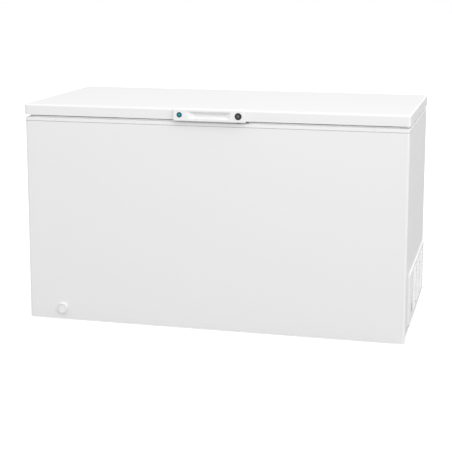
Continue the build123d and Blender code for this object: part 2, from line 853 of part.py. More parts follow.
# Condenser: a serpentine behind the back panel, with both ends led down into the machine room
line_end = machine_top - 2 * line_bend
condenser_route = [(condenser_inlet, condenser_y, line_end)]
condenser_height = condenser_low
run_start = condenser_inlet
for run in range(condenser_runs):
    condenser_route.append((run_start, condenser_y, condenser_height))
    run_end = condenser_left if run % 2 == 0 else condenser_right
    if run == condenser_runs - 1:
        run_end = condenser_outlet
    condenser_route.append((run_end, condenser_y, condenser_height))
    run_start = run_end
    condenser_height += condenser_pitch
drier_z = machine_top - drier_drop
drier_back = condenser_y - 2 * line_bend
condenser_route.append((condenser_outlet, condenser_y, drier_z))
condenser_route.append((condenser_outlet, drier_back, drier_z))
condenser_bends = [condenser_bend] * (len(condenser_route) - 3) + [line_bend]
save(tube(condenser_route, condenser_bends, condenser_radius), "condenser_coil")

# Discharge line: compressor to condenser
discharge_z = dome_start + compressor_body * 0.75
discharge_left = machine_left + 3 * line_bend
discharge_route = [
    (foot_x - compressor_radius - fit_gap, foot_y, discharge_z),
    (discharge_left, foot_y, discharge_z),
    (discharge_left, condenser_y, discharge_z),
    (condenser_inlet, condenser_y, discharge_z),
    (condenser_inlet, condenser_y, line_end),
]
save(tube(discharge_route, line_bend, discharge_radius), "discharge_line")

# Filter drier, spun down to a neck at each end
drier_front = drier_back - drier_length
with BuildPart() as filter_drier:
    with BuildSketch(Plane.YZ.offset(condenser_outlet)):
        with BuildLine():
            Polyline(
                (drier_back, drier_z),
                (drier_back, drier_z + condenser_radius),
                (drier_back - drier_radius, drier_z + condenser_radius),
                (drier_back - 2 * drier_radius, drier_z + drier_radius),
                (drier_front + 2 * drier_radius, drier_z + drier_radius),
                (drier_front + drier_radius, drier_z + condenser_radius),
                (drier_front, drier_z + condenser_radius),
                (drier_front, drier_z),
                close=True,
            )
        make_face()
    revolve(axis=Axis((condenser_outlet, 0, drier_z), (0, 1, 0)))
save(filter_drier.part, "filter_drier")

# Evaporator: a serpentine around three walls of the liner
evaporator_x = liner_outside_x + evaporator_radius + coil_gap
evaporator_route = [(evaporator_tail, circuit_y, evaporator_low)]
evaporator_bends = []
for run, height in enumerate(evaporator_heights):
    toward = 1 if run % 2 == 0 else -1
    last = run == evaporator_runs - 1
    if run:
        evaporator_route.append((evaporator_right, toward * circuit_y, height))
    evaporator_route.append((-evaporator_x, toward * circuit_y, height))
    evaporator_route.append((-evaporator_x, -toward * circuit_y, height))
    finish_x = evaporator_tail if last else evaporator_right
    evaporator_route.append((finish_x, -toward * circuit_y, height))
corner_bend = liner_radius + liner_sheet + evaporator_radius + coil_gap
for point in evaporator_route[1:-1]:
    evaporator_bends.append(corner_bend if point[0] < 0 else evaporator_bend)
save(tube(evaporator_route, evaporator_bends, evaporator_radius), "evaporator_coil")

# Capillary tube: drier to evaporator, through the bulkhead and up the chase
capillary_front = drier_front - 2 * line_bend
capillary_z = machine_top - line_bend
capillary_route = [
    (condenser_outlet, drier_front, drier_z),
    (condenser_outlet, capillary_front, drier_z),
    (capillary_x, capillary_front, drier_z),
    (capillary_x, capillary_front, capillary_z),
    (capillary_x, circuit_y, capillary_z),
    (capillary_x, circuit_y, evaporator_low),
    (evaporator_tail, circuit_y, evaporator_low),
]
save(tube(capillary_route, line_bend * 0.6, capillary_radius), "capillary_tube")

# Suction line: evaporator to compressor
suction_z = dome_start + compressor_body / 4
suction_route = [
    (evaporator_tail, circuit_y, evaporator_high),
    (suction_x, circuit_y, evaporator_high),
    (suction_x, circuit_y, suction_z),
    (foot_x, circuit_y, suction_z),
    (foot_x, foot_y + compressor_radius + fit_gap, suction_z),
]
save(tube(suction_route, line_bend, suction_radius), "suction_line")

# Cord inlet gland in the back panel
with BuildPart() as cord_gland:
    with BuildSketch(Plane.XZ.offset(-half_depth)):
        with Locations((gland_x, gland_height)):
            Circle(gland_radius + gland_flange)
    extrude(amount=-gland_flange)
    gland_edges = cord_gland.edges().group_by(Axis.Y)[-1]
    fillet(gland_edges, gland_flange / 2)
    with BuildSketch(Plane.XZ.offset(-half_depth)):
        with Locations((gland_x, gland_height)):
            Circle(gland_radius)
    extrude(amount=gland_radius)
    with BuildSketch(Plane.XZ.offset(-half_depth - gland_flange)):
        with Locations((gland_x, gland_height)):
            Circle(gland_bore)
    extrude(amount=gland_flange + gland_radius, mode=Mode.SUBTRACT)
save(cord_gland.part, "cord_gland")

# Side grille: a shallow tray with louvre blades and a cup for the dial
grille_face = half_width + grille_proud
dial_y = -half_depth + dial_from_front
cup_radius = dial_radius + dial_cup_gap
cup_floor = grille_face - dial_cup_depth
louvre_front = -half_depth + louvre_from_front
louvre_back = grille_back - grille_margin - grille_sheet
louvre_length = louvre_back - louvre_front
louvre_bottom = grille_bottom + grille_margin + grille_sheet
louvre_top = grille_top - grille_margin - grille_sheet
louvre_height = louvre_top - louvre_bottom
louvre_pitch = louvre_height / louvre_rows
louvre_lead = (louvre_pitch - louvre_drop - louvre_blade) / 2
column_pitch = (louvre_length + louvre_mullion) / louvre_columns
column_width = column_pitch - louvre_mullion
louvre_middle = ((louvre_front + louvre_back) / 2, (louvre_bottom + louvre_top) / 2)
grille_screw_places = [
    (y, z)
    for y in (grille_front + grille_screw_inset, grille_back - grille_screw_inset)
    for z in (grille_bottom + grille_screw_inset, grille_top - grille_screw_inset)
]
with BuildPart() as side_grille:
    with BuildSketch(Plane.YZ.offset(half_width)):
        with Locations((grille_mid_y, grille_mid_z)):
            RectangleRounded(grille_length, grille_height, grille_margin)
    extrude(amount=grille_proud)
    front_edges = side_grille.faces().sort_by(Axis.X)[-1].edges()
    chamfer(front_edges, grille_bevel, grille_bevel)
    with BuildSketch(Plane.YZ.offset(half_width)):
        with Locations((grille_mid_y, grille_mid_z)):
            Rectangle(grille_length - 2 * grille_margin, grille_height - 2 * grille_margin)
    extrude(amount=grille_proud - grille_sheet, mode=Mode.SUBTRACT)
    with BuildSketch(Plane.YZ.offset(grille_face)):
        with Locations(louvre_middle):
            with GridLocations(column_pitch, 1, louvre_columns, 1):
                Rectangle(column_width, louvre_height)
    extrude(amount=-grille_sheet, mode=Mode.SUBTRACT)
    with BuildSketch(Plane.YZ.offset(cup_floor - grille_sheet)):
        with Locations((dial_y, dial_height)):
            Circle(cup_radius + grille_sheet)
    extrude(amount=dial_cup_depth)
    with BuildSketch(Plane.YZ.offset(cup_floor)):
        with Locations((dial_y, dial_height)):
            Circle(cup_radius)
    extrude(amount=dial_cup_depth, mode=Mode.SUBTRACT)
    with BuildSketch(Plane.YZ.offset(grille_face)):
        with Locations((dial_y, dial_height)):
            Circle(dial_shaft_radius + running_gap)
        with Locations(*grille_screw_places):
            Circle(screw_radius + running_gap)
    extrude(amount=-grille_proud - dial_cup_depth, mode=Mode.SUBTRACT)
    # Blades slope down towards the outside, and run behind the mullions
    blade_start = Plane((0, louvre_front, 0), x_dir=(1, 0, 0), z_dir=(0, 1, 0))
    with BuildSketch(blade_start):
        for row in range(louvre_rows):
            outer_z = louvre_bottom + louvre_lead + row * louvre_pitch
            inner_z = outer_z + louvre_drop
            inner_x = grille_face - louvre_depth
            with BuildLine():
                Polyline(
                    (grille_face, -outer_z),
                    (grille_face, -outer_z - louvre_blade),
                    (inner_x, -inner_z - louvre_blade),
                    (inner_x, -inner_z),
                    close=True,
                )
            make_face()
    extrude(amount=louvre_length)
save(side_grille.part, "side_grille")

# Grille screws
with BuildPart() as grille_screws:
    with BuildSketch(Plane.YZ.offset(half_width)):
        with Locations(*grille_screw_places):
            Circle(screw_radius)
    extrude(amount=grille_proud)
    with BuildSketch(Plane.YZ.offset(grille_face)):
        with Locations(*grille_screw_places):
            Circle(screw_head_radius)
    extrude(amount=screw_head)
    fillet(grille_screws.edges().group_by(Axis.X)[-1], screw_head / 2)
save(grille_screws.part, "grille_screws")

# Thermostat behind the dial cup
cup_back = cup_floor - grille_sheet
shaft_end = cup_back - thermostat_depth / 2
with BuildPart() as thermostat:
    with BuildSketch(Plane.YZ.offset(cup_back)):
        with Locations((dial_y, dial_height)):
            RectangleRounded(thermostat_width, thermostat_width, 2 * collar_wall)
    extrude(amount=-thermostat_depth)
    with BuildSketch(Plane.YZ.offset(cup_back)):
        with Locations((dial_y, dial_height)):
            Circle(dial_shaft_radius + running_gap)
    extrude(amount=shaft_end - fit_gap - cup_back, mode=Mode.SUBTRACT)
save(thermostat.part, "thermostat")

# Temperature dial with a pointer rib, on its shaft
dial_back = cup_floor + fit_gap
with BuildPart() as control_dial:
    with BuildSketch(Plane.YZ.offset(dial_back)):
        with Locations((dial_y, dial_height)):
            Circle(dial_radius)
    extrude(amount=dial_thickness * 0.5)
    with BuildSketch(Plane.YZ.offset(dial_back + dial_thickness * 0.5)):
        with Locations((dial_y, dial_height)):
            SlotOverall(2 * dial_radius - dial_cup_gap, dial_radius / 2, rotation=90)
    extrude(amount=dial_thickness * 0.5)
    fillet(control_dial.edges().group_by(Axis.X)[-1], dial_thickness / 8)
    with BuildSketch(Plane.YZ.offset(dial_back)):
        with Locations((dial_y, dial_height)):
            Circle(dial_shaft_radius)
    extrude(amount=shaft_end - dial_back)
save(control_dial.part, "control_dial")


def lid_block(inset, corner, roll):
    """Make the lid's outer form, inset from its top and sides, with rolled top edges."""
    with BuildPart() as block:
        with BuildSketch(Plane.XY.offset(lid_bottom)):
            RectangleRounded(lid_width - 2 * inset, lid_depth - 2 * inset, corner)
        extrude(amount=lid_edge - inset)
        fillet(block.faces().sort_by(Axis.Z)[-1].edges(), roll)
    return block.part


def plug_block(inset, top):
    """Make the tapered plug of the lid that hangs inside the collar."""
    plug_width = 2 * (collar_inside_x - plug_clearance - inset)
    plug_length_y = 2 * (collar_inside_y - plug_clearance - inset)
    down = Plane((0, 0, top), x_dir=(1, 0, 0), z_dir=(0, 0, -1))
    with BuildPart() as block:
        with BuildSketch(down):
            RectangleRounded(plug_width, plug_length_y, plug_radius)
        extrude(amount=plug_depth, taper=plug_taper)
    return block.part


# Lid pan: drawn steel with rolled edges and a turned-in flange
light_x = -lock_x
light_bore = light_lens_radius + light_barrel_wall
leaf_low = hinge_z + leaf_ear_gap
leaf_high = lid_top - leaf_top_gap
leaf_rows = [leaf_low + (leaf_high - leaf_low) * share for share in leaf_screw_heights]
leaf_screws = [
    (side + step, height)
    for side in hinge_sides
    for step in (-leaf_screw_spread, leaf_screw_spread)
    for height in leaf_rows
]
with BuildPart() as lid_pan:
    add(lid_block(0.0, lid_corner, lid_roll))
    add(lid_block(skin, lid_corner - skin, lid_roll - skin), mode=Mode.SUBTRACT)
    with BuildSketch(Plane.XY.offset(lid_bottom)):
        rounded_ring(lid_width, lid_depth, lid_corner, 0, lid_flange)
        with BuildSketch(mode=Mode.SUBTRACT):
            slot_at(lid_bottom, 0)
    extrude(amount=skin)
    with BuildSketch(Plane.XZ.offset(lid_front)):
        with Locations((lock_x, lock_z)):
            Circle(lock_barrel_radius + running_gap)
        with Locations((light_x, lock_z)):
            Circle(light_bore + running_gap)
    extrude(amount=-skin, mode=Mode.SUBTRACT)
    with BuildSketch(Plane.XZ.offset(-lid_front)):
        with Locations(*leaf_screws):
            Circle(screw_radius + running_gap)
    extrude(amount=skin, mode=Mode.SUBTRACT)
save(lid_pan.part, "lid_pan")

# Lid inner panel: a sheet with the channel for the gasket, and the plug tray joined under it
gasket_middle = gasket_inset + gasket_width / 2
gasket_corner = liner_radius + gasket_inset
channel_inset = gasket_middle - gasket_dart / 2 - fit_gap
channel_slot = gasket_dart + 2 * fit_gap
channel_width = channel_slot + 2 * channel_wall
channel_top = panel_bottom + dart_depth + channel_wall + fit_gap
with BuildPart() as lid_inner_panel:
    with BuildSketch(Plane.XY.offset(panel_bottom)):
        panel_gap = skin + fit_gap
        RectangleRounded(lid_width - 2 * panel_gap, lid_depth - 2 * panel_gap, lid_corner)
    extrude(amount=panel_sheet)
    add(plug_block(0.0, panel_bottom))
    add(plug_block(panel_sheet, panel_top), mode=Mode.SUBTRACT)
    with BuildSketch(Plane.XY.offset(panel_bottom)):
        rounded_ring(lid_width, lid_depth, gasket_corner, channel_inset - channel_wall, channel_width)
    extrude(amount=channel_top - panel_bottom)
    with BuildSketch(Plane.XY.offset(panel_bottom)):
        rounded_ring(lid_width, lid_depth, gasket_corner, channel_inset, channel_slot)
    extrude(amount=dart_depth + fit_gap, mode=Mode.SUBTRACT)
    with BuildSketch(Plane.XY.offset(panel_bottom)):
        slot_at(lid_bottom, 0)
    extrude(amount=panel_sheet, mode=Mode.SUBTRACT)
    split(bisect_by=Plane.XY.offset(panel_bottom), keep=Keep.BOTH)
save(lid_inner_panel.part, "lid_inner_panel")

# Lock housing: a moulded box in the lid that leaves the cam room to swing
housing_left = lock_x - lock_arm_width - lock_tooth - lock_swing_gap - lock_housing_wall
housing_right = lock_x + lock_arm + lock_tooth + lock_housing_wall
housing_front = -lid_front + skin
housing_back = slot_y + slot_depth / 2 + lock_housing_wall
housing_top = lock_z + lock_arm_width + lock_swing_gap
with BuildPart() as lock_housing:
    with BuildSketch(Plane.XY.offset(panel_top)):
        housing_middle = ((housing_left + housing_right) / 2, (housing_front + housing_back) / 2)
        with Locations(housing_middle):
            Rectangle(housing_right - housing_left, housing_back - housing_front)
    extrude(amount=housing_top - panel_top)
    offset(
        amount=-lock_housing_wall,
        openings=lock_housing.faces().sort_by(Axis.Z)[0],
        kind=Kind.INTERSECTION,
    )
    with BuildSketch(Plane.XZ.offset(-housing_front)):
        with Locations((lock_x, lock_z)):
            Circle(lock_barrel_radius + running_gap)
    extrude(amount=-lock_housing_wall, mode=Mode.SUBTRACT)
save(lock_housing.part, "lock_housing")

# Lid foam
with BuildPart() as lid_foam:
    add(lid_block(skin, lid_corner, lid_roll))
    with BuildSketch(Plane.XY.offset(lid_bottom)):
        Rectangle(lid_width, lid_depth)
    extrude(amount=panel_top - lid_bottom, mode=Mode.SUBTRACT)
    add(plug_block(panel_sheet, panel_top))
    with BuildSketch(Plane.XY.offset(panel_top)):
        rounded_ring(lid_width, lid_depth, gasket_corner, channel_inset - channel_wall, channel_width)
    extrude(amount=channel_top - panel_top, mode=Mode.SUBTRACT)
    with BuildSketch(Plane.XY.offset(panel_top)):
        with Locations(housing_middle):
            Rectangle(housing_right - housing_left, housing_back - housing_front)
    extrude(amount=housing_top - panel_top, mode=Mode.SUBTRACT)
    with BuildSketch(Plane.XZ.offset(lid_front)):
        with Locations((light_x, lock_z)):
            Circle(light_bore + running_gap)
    extrude(amount=-2 * lid_flange, mode=Mode.SUBTRACT)
save(lid_foam.part, "lid_foam")

# Gasket: magnetic nose on a narrow neck, with a dart that holds in the channel
lip_inset = gasket_inset - gasket_lip
neck_inset = gasket_middle - gasket_neck / 2
dart_inset = gasket_middle - gasket_dart / 2
with BuildPart() as lid_gasket:
    for low, high, inset, thickness in (
        (collar_top, collar_top + gasket_nose, lip_inset, gasket_lip + gasket_width),
        (collar_top + gasket_nose, panel_bottom, neck_inset, gasket_neck),
        (panel_bottom, panel_bottom + dart_depth, dart_inset, gasket_dart),
    ):
        with BuildSketch(Plane.XY.offset(low)):
            rounded_ring(lid_width, lid_depth, gasket_corner, inset, thickness)
        extrude(amount=high - low)
    # Notch in the lip where the lock arm comes down
    with BuildSketch(Plane.XY.offset(collar_top)):
        slot_at(collar_top, lock_tooth)
    extrude(amount=gasket_nose, mode=Mode.SUBTRACT)
save(lid_gasket.part, "lid_gasket")

# Lid lamp: a light board under a translucent cover
lamp_y = -half_depth + lamp_from_front
plug_bottom = panel_bottom - plug_depth
lamp_down = Plane((0, lamp_y, plug_bottom), x_dir=(1, 0, 0), z_dir=(0, 0, -1))
with BuildPart() as lamp_cover:
    with BuildSketch(lamp_down):
        RectangleRounded(lamp_length, lamp_width, lamp_drop)
    extrude(amount=lamp_drop, taper=plug_taper)
    offset(
        amount=-lamp_wall,
        openings=lamp_cover.faces().sort_by(Axis.Z)[-1],
        kind=Kind.INTERSECTION,
    )
save(lamp_cover.part, "lamp_cover")

with BuildPart() as lamp_board:
    with BuildSketch(lamp_down):
        Rectangle(lamp_length - 3 * lamp_drop, lamp_width - 2 * lamp_drop)
    extrude(amount=board_sheet)
save(lamp_board.part, "lamp_board")

# Handle: moulded block over the lid's edge, with a scooped grip
handle_face = -lid_front - handle_reach
with BuildPart() as handle:
    with BuildSketch(Plane.YZ):
        with BuildLine():
            Polyline(
                (handle_face + handle_round / 2, handle_bottom),
                (-lid_front + handle_lip, handle_bottom),
                (-lid_front + handle_lip, handle_top),
                (handle_face + handle_round, handle_top),
            )
            TangentArc(
                (handle_face + handle_round, handle_top),
                (handle_face, handle_top - handle_round),
                tangent=(-1, 0),
            )
            Polyline(
                (handle_face, handle_top - handle_round),
                (handle_face, handle_bottom + handle_round / 2),
                (handle_face + handle_round / 2, handle_bottom),
            )
        make_face()
    extrude(amount=handle_width / 2, both=True)
    end_edges = handle.edges().filter_by(Axis.Z).group_by(Axis.Y)[0]
    fillet(end_edges, handle_round / 2)
    add(lid_block(0.0, lid_corner, lid_roll), mode=Mode.SUBTRACT)
    with BuildSketch(Plane.XY.offset(lid_bottom)):
        Rectangle(lid_width, lid_depth)
    extrude(amount=-handle_drop, mode=Mode.SUBTRACT)
    # Scoop: a wide mouth whose sloped roof and ramp meet at a narrow deep line
    scoop_top = handle_top - scoop_below_top
    mouth = [
        (-scoop_width / 2, scoop_top),
        (scoop_width / 2, scoop_top),
        (scoop_width / 2 - scoop_taper, scoop_top - scoop_height),
        (-scoop_width / 2 + scoop_taper, scoop_top - scoop_height),
    ]
    deep_half = scoop_width / 2 - scoop_end_slope
    deep = [
        (-deep_half, scoop_top - scoop_ceiling_drop),
        (deep_half, scoop_top - scoop_ceiling_drop),
        (deep_half - scoop_end_sweep, scoop_top - scoop_deep_height),
        (-deep_half + scoop_end_sweep, scoop_top - scoop_deep_height),
    ]
    with BuildSketch(Plane.XZ.offset(-handle_face)):
        with BuildLine():
            Polyline(*mouth, close=True)
        make_face()
    with BuildSketch(Plane.XZ.offset(-handle_face - scoop_depth)):
        with BuildLine():
            Polyline(*deep, close=True)
        make_face()
    loft(ruled=True, mode=Mode.SUBTRACT)
    with BuildSketch(Plane.XZ.offset(-handle_face)):
        with Locations((lock_x, lock_z)):
            Circle(lock_barrel_radius + running_gap)
        with Locations((light_x, lock_z)):
            Circle(light_bore + running_gap)
    extrude(amount=-handle_reach, mode=Mode.SUBTRACT)
save(handle.part, "handle")

# Pilot light: bezel with a long barrel, and its lens
light_front = -handle_face
light_barrel = handle_reach + skin + lid_flange
with BuildPart() as light_bezel:
    with BuildSketch(Plane.XZ.offset(light_front)):
        with Locations((light_x, lock_z)):
            Circle(light_radius)
    extrude(amount=light_proud)
    chamfer(light_bezel.edges().group_by(Axis.Y)[0], light_proud / 2)
    with BuildSketch(Plane.XZ.offset(light_front)):
        with Locations((light_x, lock_z)):
            Circle(light_bore)
    extrude(amount=-light_barrel)
    with BuildSketch(Plane.XZ.offset(light_front + light_proud)):
        with Locations((light_x, lock_z)):
            Circle(light_lens_radius + running_gap)
    extrude(amount=-light_barrel / 2, mode=Mode.SUBTRACT)
save(light_bezel.part, "light_bezel")

with BuildPart() as light_lens:
    with BuildSketch(Plane.XZ.offset(light_front + light_proud)):
        with Locations((light_x, lock_z)):
            Circle(light_lens_radius)
    extrude(amount=-light_barrel / 2)
    fillet(light_lens.edges().group_by(Axis.Y)[0], light_proud)
save(light_lens.part, "light_lens")

# Lock: bezel on the handle, cylinder through the lid, and the hooked cam behind
with BuildPart() as lock_bezel:
    with BuildSketch(Plane.XZ.offset(light_front)):
        with Locations((lock_x, lock_z)):
            Circle(lock_radius)
            Circle(lock_barrel_radius + running_gap, mode=Mode.SUBTRACT)
    extrude(amount=lock_proud)
    chamfer(lock_bezel.edges().group_by(Axis.Y)[0].sort_by(SortBy.LENGTH)[-1], lock_proud / 2)
save(lock_bezel.part, "lock_bezel")

key_slot = lock_barrel_radius
with BuildPart() as lock_cylinder:
    with BuildSketch(Plane.XZ.offset(light_front + lock_proud)):
        with Locations((lock_x, lock_z)):
            Circle(lock_barrel_radius)
    extrude(amount=-(light_front + lock_proud + cam_front))
    with BuildSketch(Plane.XZ.offset(light_front + lock_proud)):
        with Locations((lock_x, lock_z)):
            Rectangle(key_slot / 4, key_slot)
    extrude(amount=-handle_reach / 2, mode=Mode.SUBTRACT)
save(lock_cylinder.part, "lock_cylinder")

with BuildPart() as lock_cam:
    with BuildSketch(Plane.XZ.offset(-cam_front)):
        with Locations((lock_x, lock_z)):
            Circle(lock_arm_width)
        with Locations((lock_x + lock_arm / 2, lock_z)):
            Rectangle(lock_arm, lock_arm_width)
        with Locations((lock_x + lock_arm - lock_tooth / 4, lock_z - lock_arm_width / 2 - lock_tooth / 2)):
            Rectangle(lock_tooth / 2, lock_tooth)
    extrude(amount=-lock_cam_sheet)
save(lock_cam.part, "lock_cam")

# Hinges: a screwed-on box with a sprung plunger, and a leaf on the lid with a cam that rests on it
swing = math.radians(lid_swing)
cam_reach = cam_least_reach + cam_base_radius * swing
cam_steps = 8
box_side = hinge_box_width / 2
web_top = hinge_z - hinge_ear_radius - hinge_box_rear / 2
plunger_y = hinge_y - hinge_setback / 2 + hinge_box_rear / 2 - hinge_sheet / 2
plunger_top = hinge_z - cam_reach - cam_gap
plunger_bottom = plunger_top - plunger_head
spring_bottom = hinge_box_bottom + hinge_sheet
leaf_front = lid_front
leaf_back = lid_front + leaf_sheet
leaf_ear_x = box_side - hinge_sheet - leaf_ear_gap


def cam_point(turn):
    """Point of the cam's involute that touches the plunger when the lid has turned this far."""
    reach = cam_reach - cam_base_radius * turn
    along = -cam_base_radius * math.cos(turn) + reach * math.sin(turn)
    up = -cam_base_radius * math.sin(turn) - reach * math.cos(turn)
    return (hinge_y + along, hinge_z + up)


for side, hinge_x in (("left", -hinge_offset), ("right", hinge_offset)):
    with BuildPart() as hinge_base:
        with BuildSketch(Plane.XY.offset(hinge_box_bottom)):
            box_back = hinge_y + hinge_box_rear
            box_middle = (half_depth + box_back) / 2
            with Locations((hinge_x, box_middle)):
                Rectangle(hinge_box_width, box_back - half_depth)
            with Locations((hinge_x, box_middle - hinge_sheet)):
                Rectangle(hinge_box_width - 2 * hinge_sheet, box_back - half_depth, mode=Mode.SUBTRACT)
            with Locations((hinge_x, half_depth + hinge_sheet / 2)):
                Rectangle(hinge_box_width + 2 * hinge_flange, hinge_sheet)
                Rectangle(hinge_box_width - 2 * hinge_sheet, hinge_sheet, mode=Mode.SUBTRACT)
        extrude(amount=hinge_box_length - hinge_flange_top)
        with BuildSketch(Plane.XZ.offset(-box_back)):
            with Locations((hinge_x, (hinge_box_bottom + web_top) / 2)):
                Rectangle(hinge_box_width, web_top - hinge_box_bottom)
        extrude(amount=hinge_sheet)
        with BuildSketch(Plane.XY.offset(hinge_box_bottom)):
            with Locations((hinge_x, box_middle)):
                Rectangle(hinge_box_width, box_back - half_depth)
        extrude(amount=hinge_sheet)
        with BuildSketch(Plane.YZ.offset(hinge_x - box_side)):
            with BuildLine():
                Polyline(
                    (half_depth, hinge_z - hinge_flange_top),
                    (box_back, hinge_z - hinge_flange_top),
                    (box_back, web_top),
                    (hinge_y + hinge_ear_radius, hinge_z),
                )
                TangentArc(
                    (hinge_y + hinge_ear_radius, hinge_z),
                    (hinge_y - hinge_ear_radius, hinge_z),
                    tangent=(0, 1),
                )
                Polyline(
                    (hinge_y - hinge_ear_radius, hinge_z),
                    (half_depth, hinge_z - hinge_flange_top + hinge_ear_radius),
                    (half_depth, hinge_z - hinge_flange_top),
                )
            make_face()
            with Locations((hinge_y, hinge_z)):
                Circle(pin_radius + running_gap, mode=Mode.SUBTRACT)
        extrude(amount=hinge_sheet)
        mirror(about=Plane.YZ.offset(hinge_x))
        with BuildSketch(Plane.XZ.offset(-half_depth)):
            with Locations(*cabinet_screws):
                Circle(screw_radius + running_gap)
        extrude(amount=-hinge_sheet, mode=Mode.SUBTRACT)
    save(hinge_base.part, f"hinge_base_{side}")

    with BuildPart() as hinge_leaf:
        with BuildSketch(Plane.XZ.offset(-leaf_front)):
            with Locations((hinge_x, (leaf_low + leaf_high) / 2)):
                RectangleRounded(leaf_width, leaf_high - leaf_low, leaf_top_gap / 2)
            with Locations(*leaf_screws):
                Circle(screw_radius + running_gap, mode=Mode.SUBTRACT)
        extrude(amount=-leaf_sheet)
        with BuildSketch(Plane.YZ.offset(hinge_x - leaf_ear_x)):
            with BuildLine():
                Polyline(
                    (leaf_front, leaf_low),
                    (leaf_front, leaf_high - leaf_top_gap),
                    (leaf_back, leaf_high - leaf_top_gap),
                    (hinge_y, hinge_z + hub_radius),
                    (hinge_y, hinge_z),
                    close=True,
                )
            make_face()
            with Locations((hinge_y, hinge_z)):
                Circle(hub_radius)
        extrude(amount=hinge_sheet)
        mirror(about=Plane.YZ.offset(hinge_x))
        with BuildSketch(Plane.YZ.offset(hinge_x - leaf_ear_x)):
            with Locations((hinge_y, hinge_z)):
                Circle(hub_radius)
        extrude(amount=2 * leaf_ear_x)
        with BuildSketch(Plane.YZ.offset(hinge_x - cam_width / 2)):
            with BuildLine():
                face = [cam_point(swing * step / cam_steps) for step in range(cam_steps + 1)]
                Spline(*face)
                Polyline(face[-1], (hinge_y, hinge_z), face[0])
            make_face()
        extrude(amount=cam_width)
        with BuildSketch(Plane.YZ.offset(hinge_x - leaf_ear_x)):
            with Locations((hinge_y, hinge_z)):
                Circle(pin_radius + running_gap)
        extrude(amount=2 * leaf_ear_x, mode=Mode.SUBTRACT)
    save(hinge_leaf.part, f"hinge_leaf_{side}")

    with BuildPart() as hinge_plunger:
        with BuildSketch(Plane.XY.offset(plunger_bottom)):
            with Locations((hinge_x, plunger_y)):
                Circle(plunger_radius)
        extrude(amount=plunger_head)
        with BuildSketch(Plane.XY.offset(plunger_bottom)):
            with Locations((hinge_x, plunger_y)):
                Circle(plunger_stem_radius)
        extrude(amount=-plunger_stem)
    save(hinge_plunger.part, f"hinge_plunger_{side}")

# Hinge pins, headed at both ends, and the springs under the plungers
with BuildPart() as hinge_pins:
    for hinge_x in hinge_sides:
        with BuildSketch(Plane.YZ.offset(hinge_x - box_side)):
            with Locations((hinge_y, hinge_z)):
                Circle(pin_radius)
        extrude(amount=hinge_box_width)
        for face_x, out in ((hinge_x - box_side, -pin_head), (hinge_x + box_side, pin_head)):
            with BuildSketch(Plane.YZ.offset(face_x)):
                with Locations((hinge_y, hinge_z)):
                    Circle(pin_head_radius)
            extrude(amount=out)
save(hinge_pins.part, "hinge_pins")

with BuildPart() as hinge_springs:
    with BuildSketch(Plane.XY.offset(spring_bottom)):
        with Locations(*[(hinge_x, plunger_y) for hinge_x in hinge_sides]):
            Circle(spring_radius)
            Circle(spring_bore, mode=Mode.SUBTRACT)
    extrude(amount=plunger_bottom - spring_bottom)
save(hinge_springs.part, "hinge_springs")

# Hinge screws, in the cabinet's back and in the lid's rear edge
with BuildPart() as hinge_base_screws:
    with BuildSketch(Plane.XZ.offset(-back_inside)):
        with Locations(*cabinet_screws):
            Circle(screw_radius)
    extrude(amount=-skin - hinge_sheet)
    with BuildSketch(Plane.XZ.offset(-half_depth - hinge_sheet)):
        with Locations(*cabinet_screws):
            Circle(screw_head_radius)
    extrude(amount=-screw_head)
    fillet(hinge_base_screws.edges().group_by(Axis.Y)[-1], screw_head / 2)
save(hinge_base_screws.part, "hinge_base_screws")

with BuildPart() as hinge_leaf_screws:
    with BuildSketch(Plane.XZ.offset(skin - lid_front)):
        with Locations(*leaf_screws):
            Circle(screw_radius)
    extrude(amount=-skin - leaf_sheet)
    with BuildSketch(Plane.XZ.offset(-leaf_back)):
        with Locations(*leaf_screws):
            Circle(screw_head_radius)
    extrude(amount=-screw_head)
    fillet(hinge_leaf_screws.edges().group_by(Axis.Y)[-1], screw_head / 2)
save(hinge_leaf_screws.part, "hinge_leaf_screws")

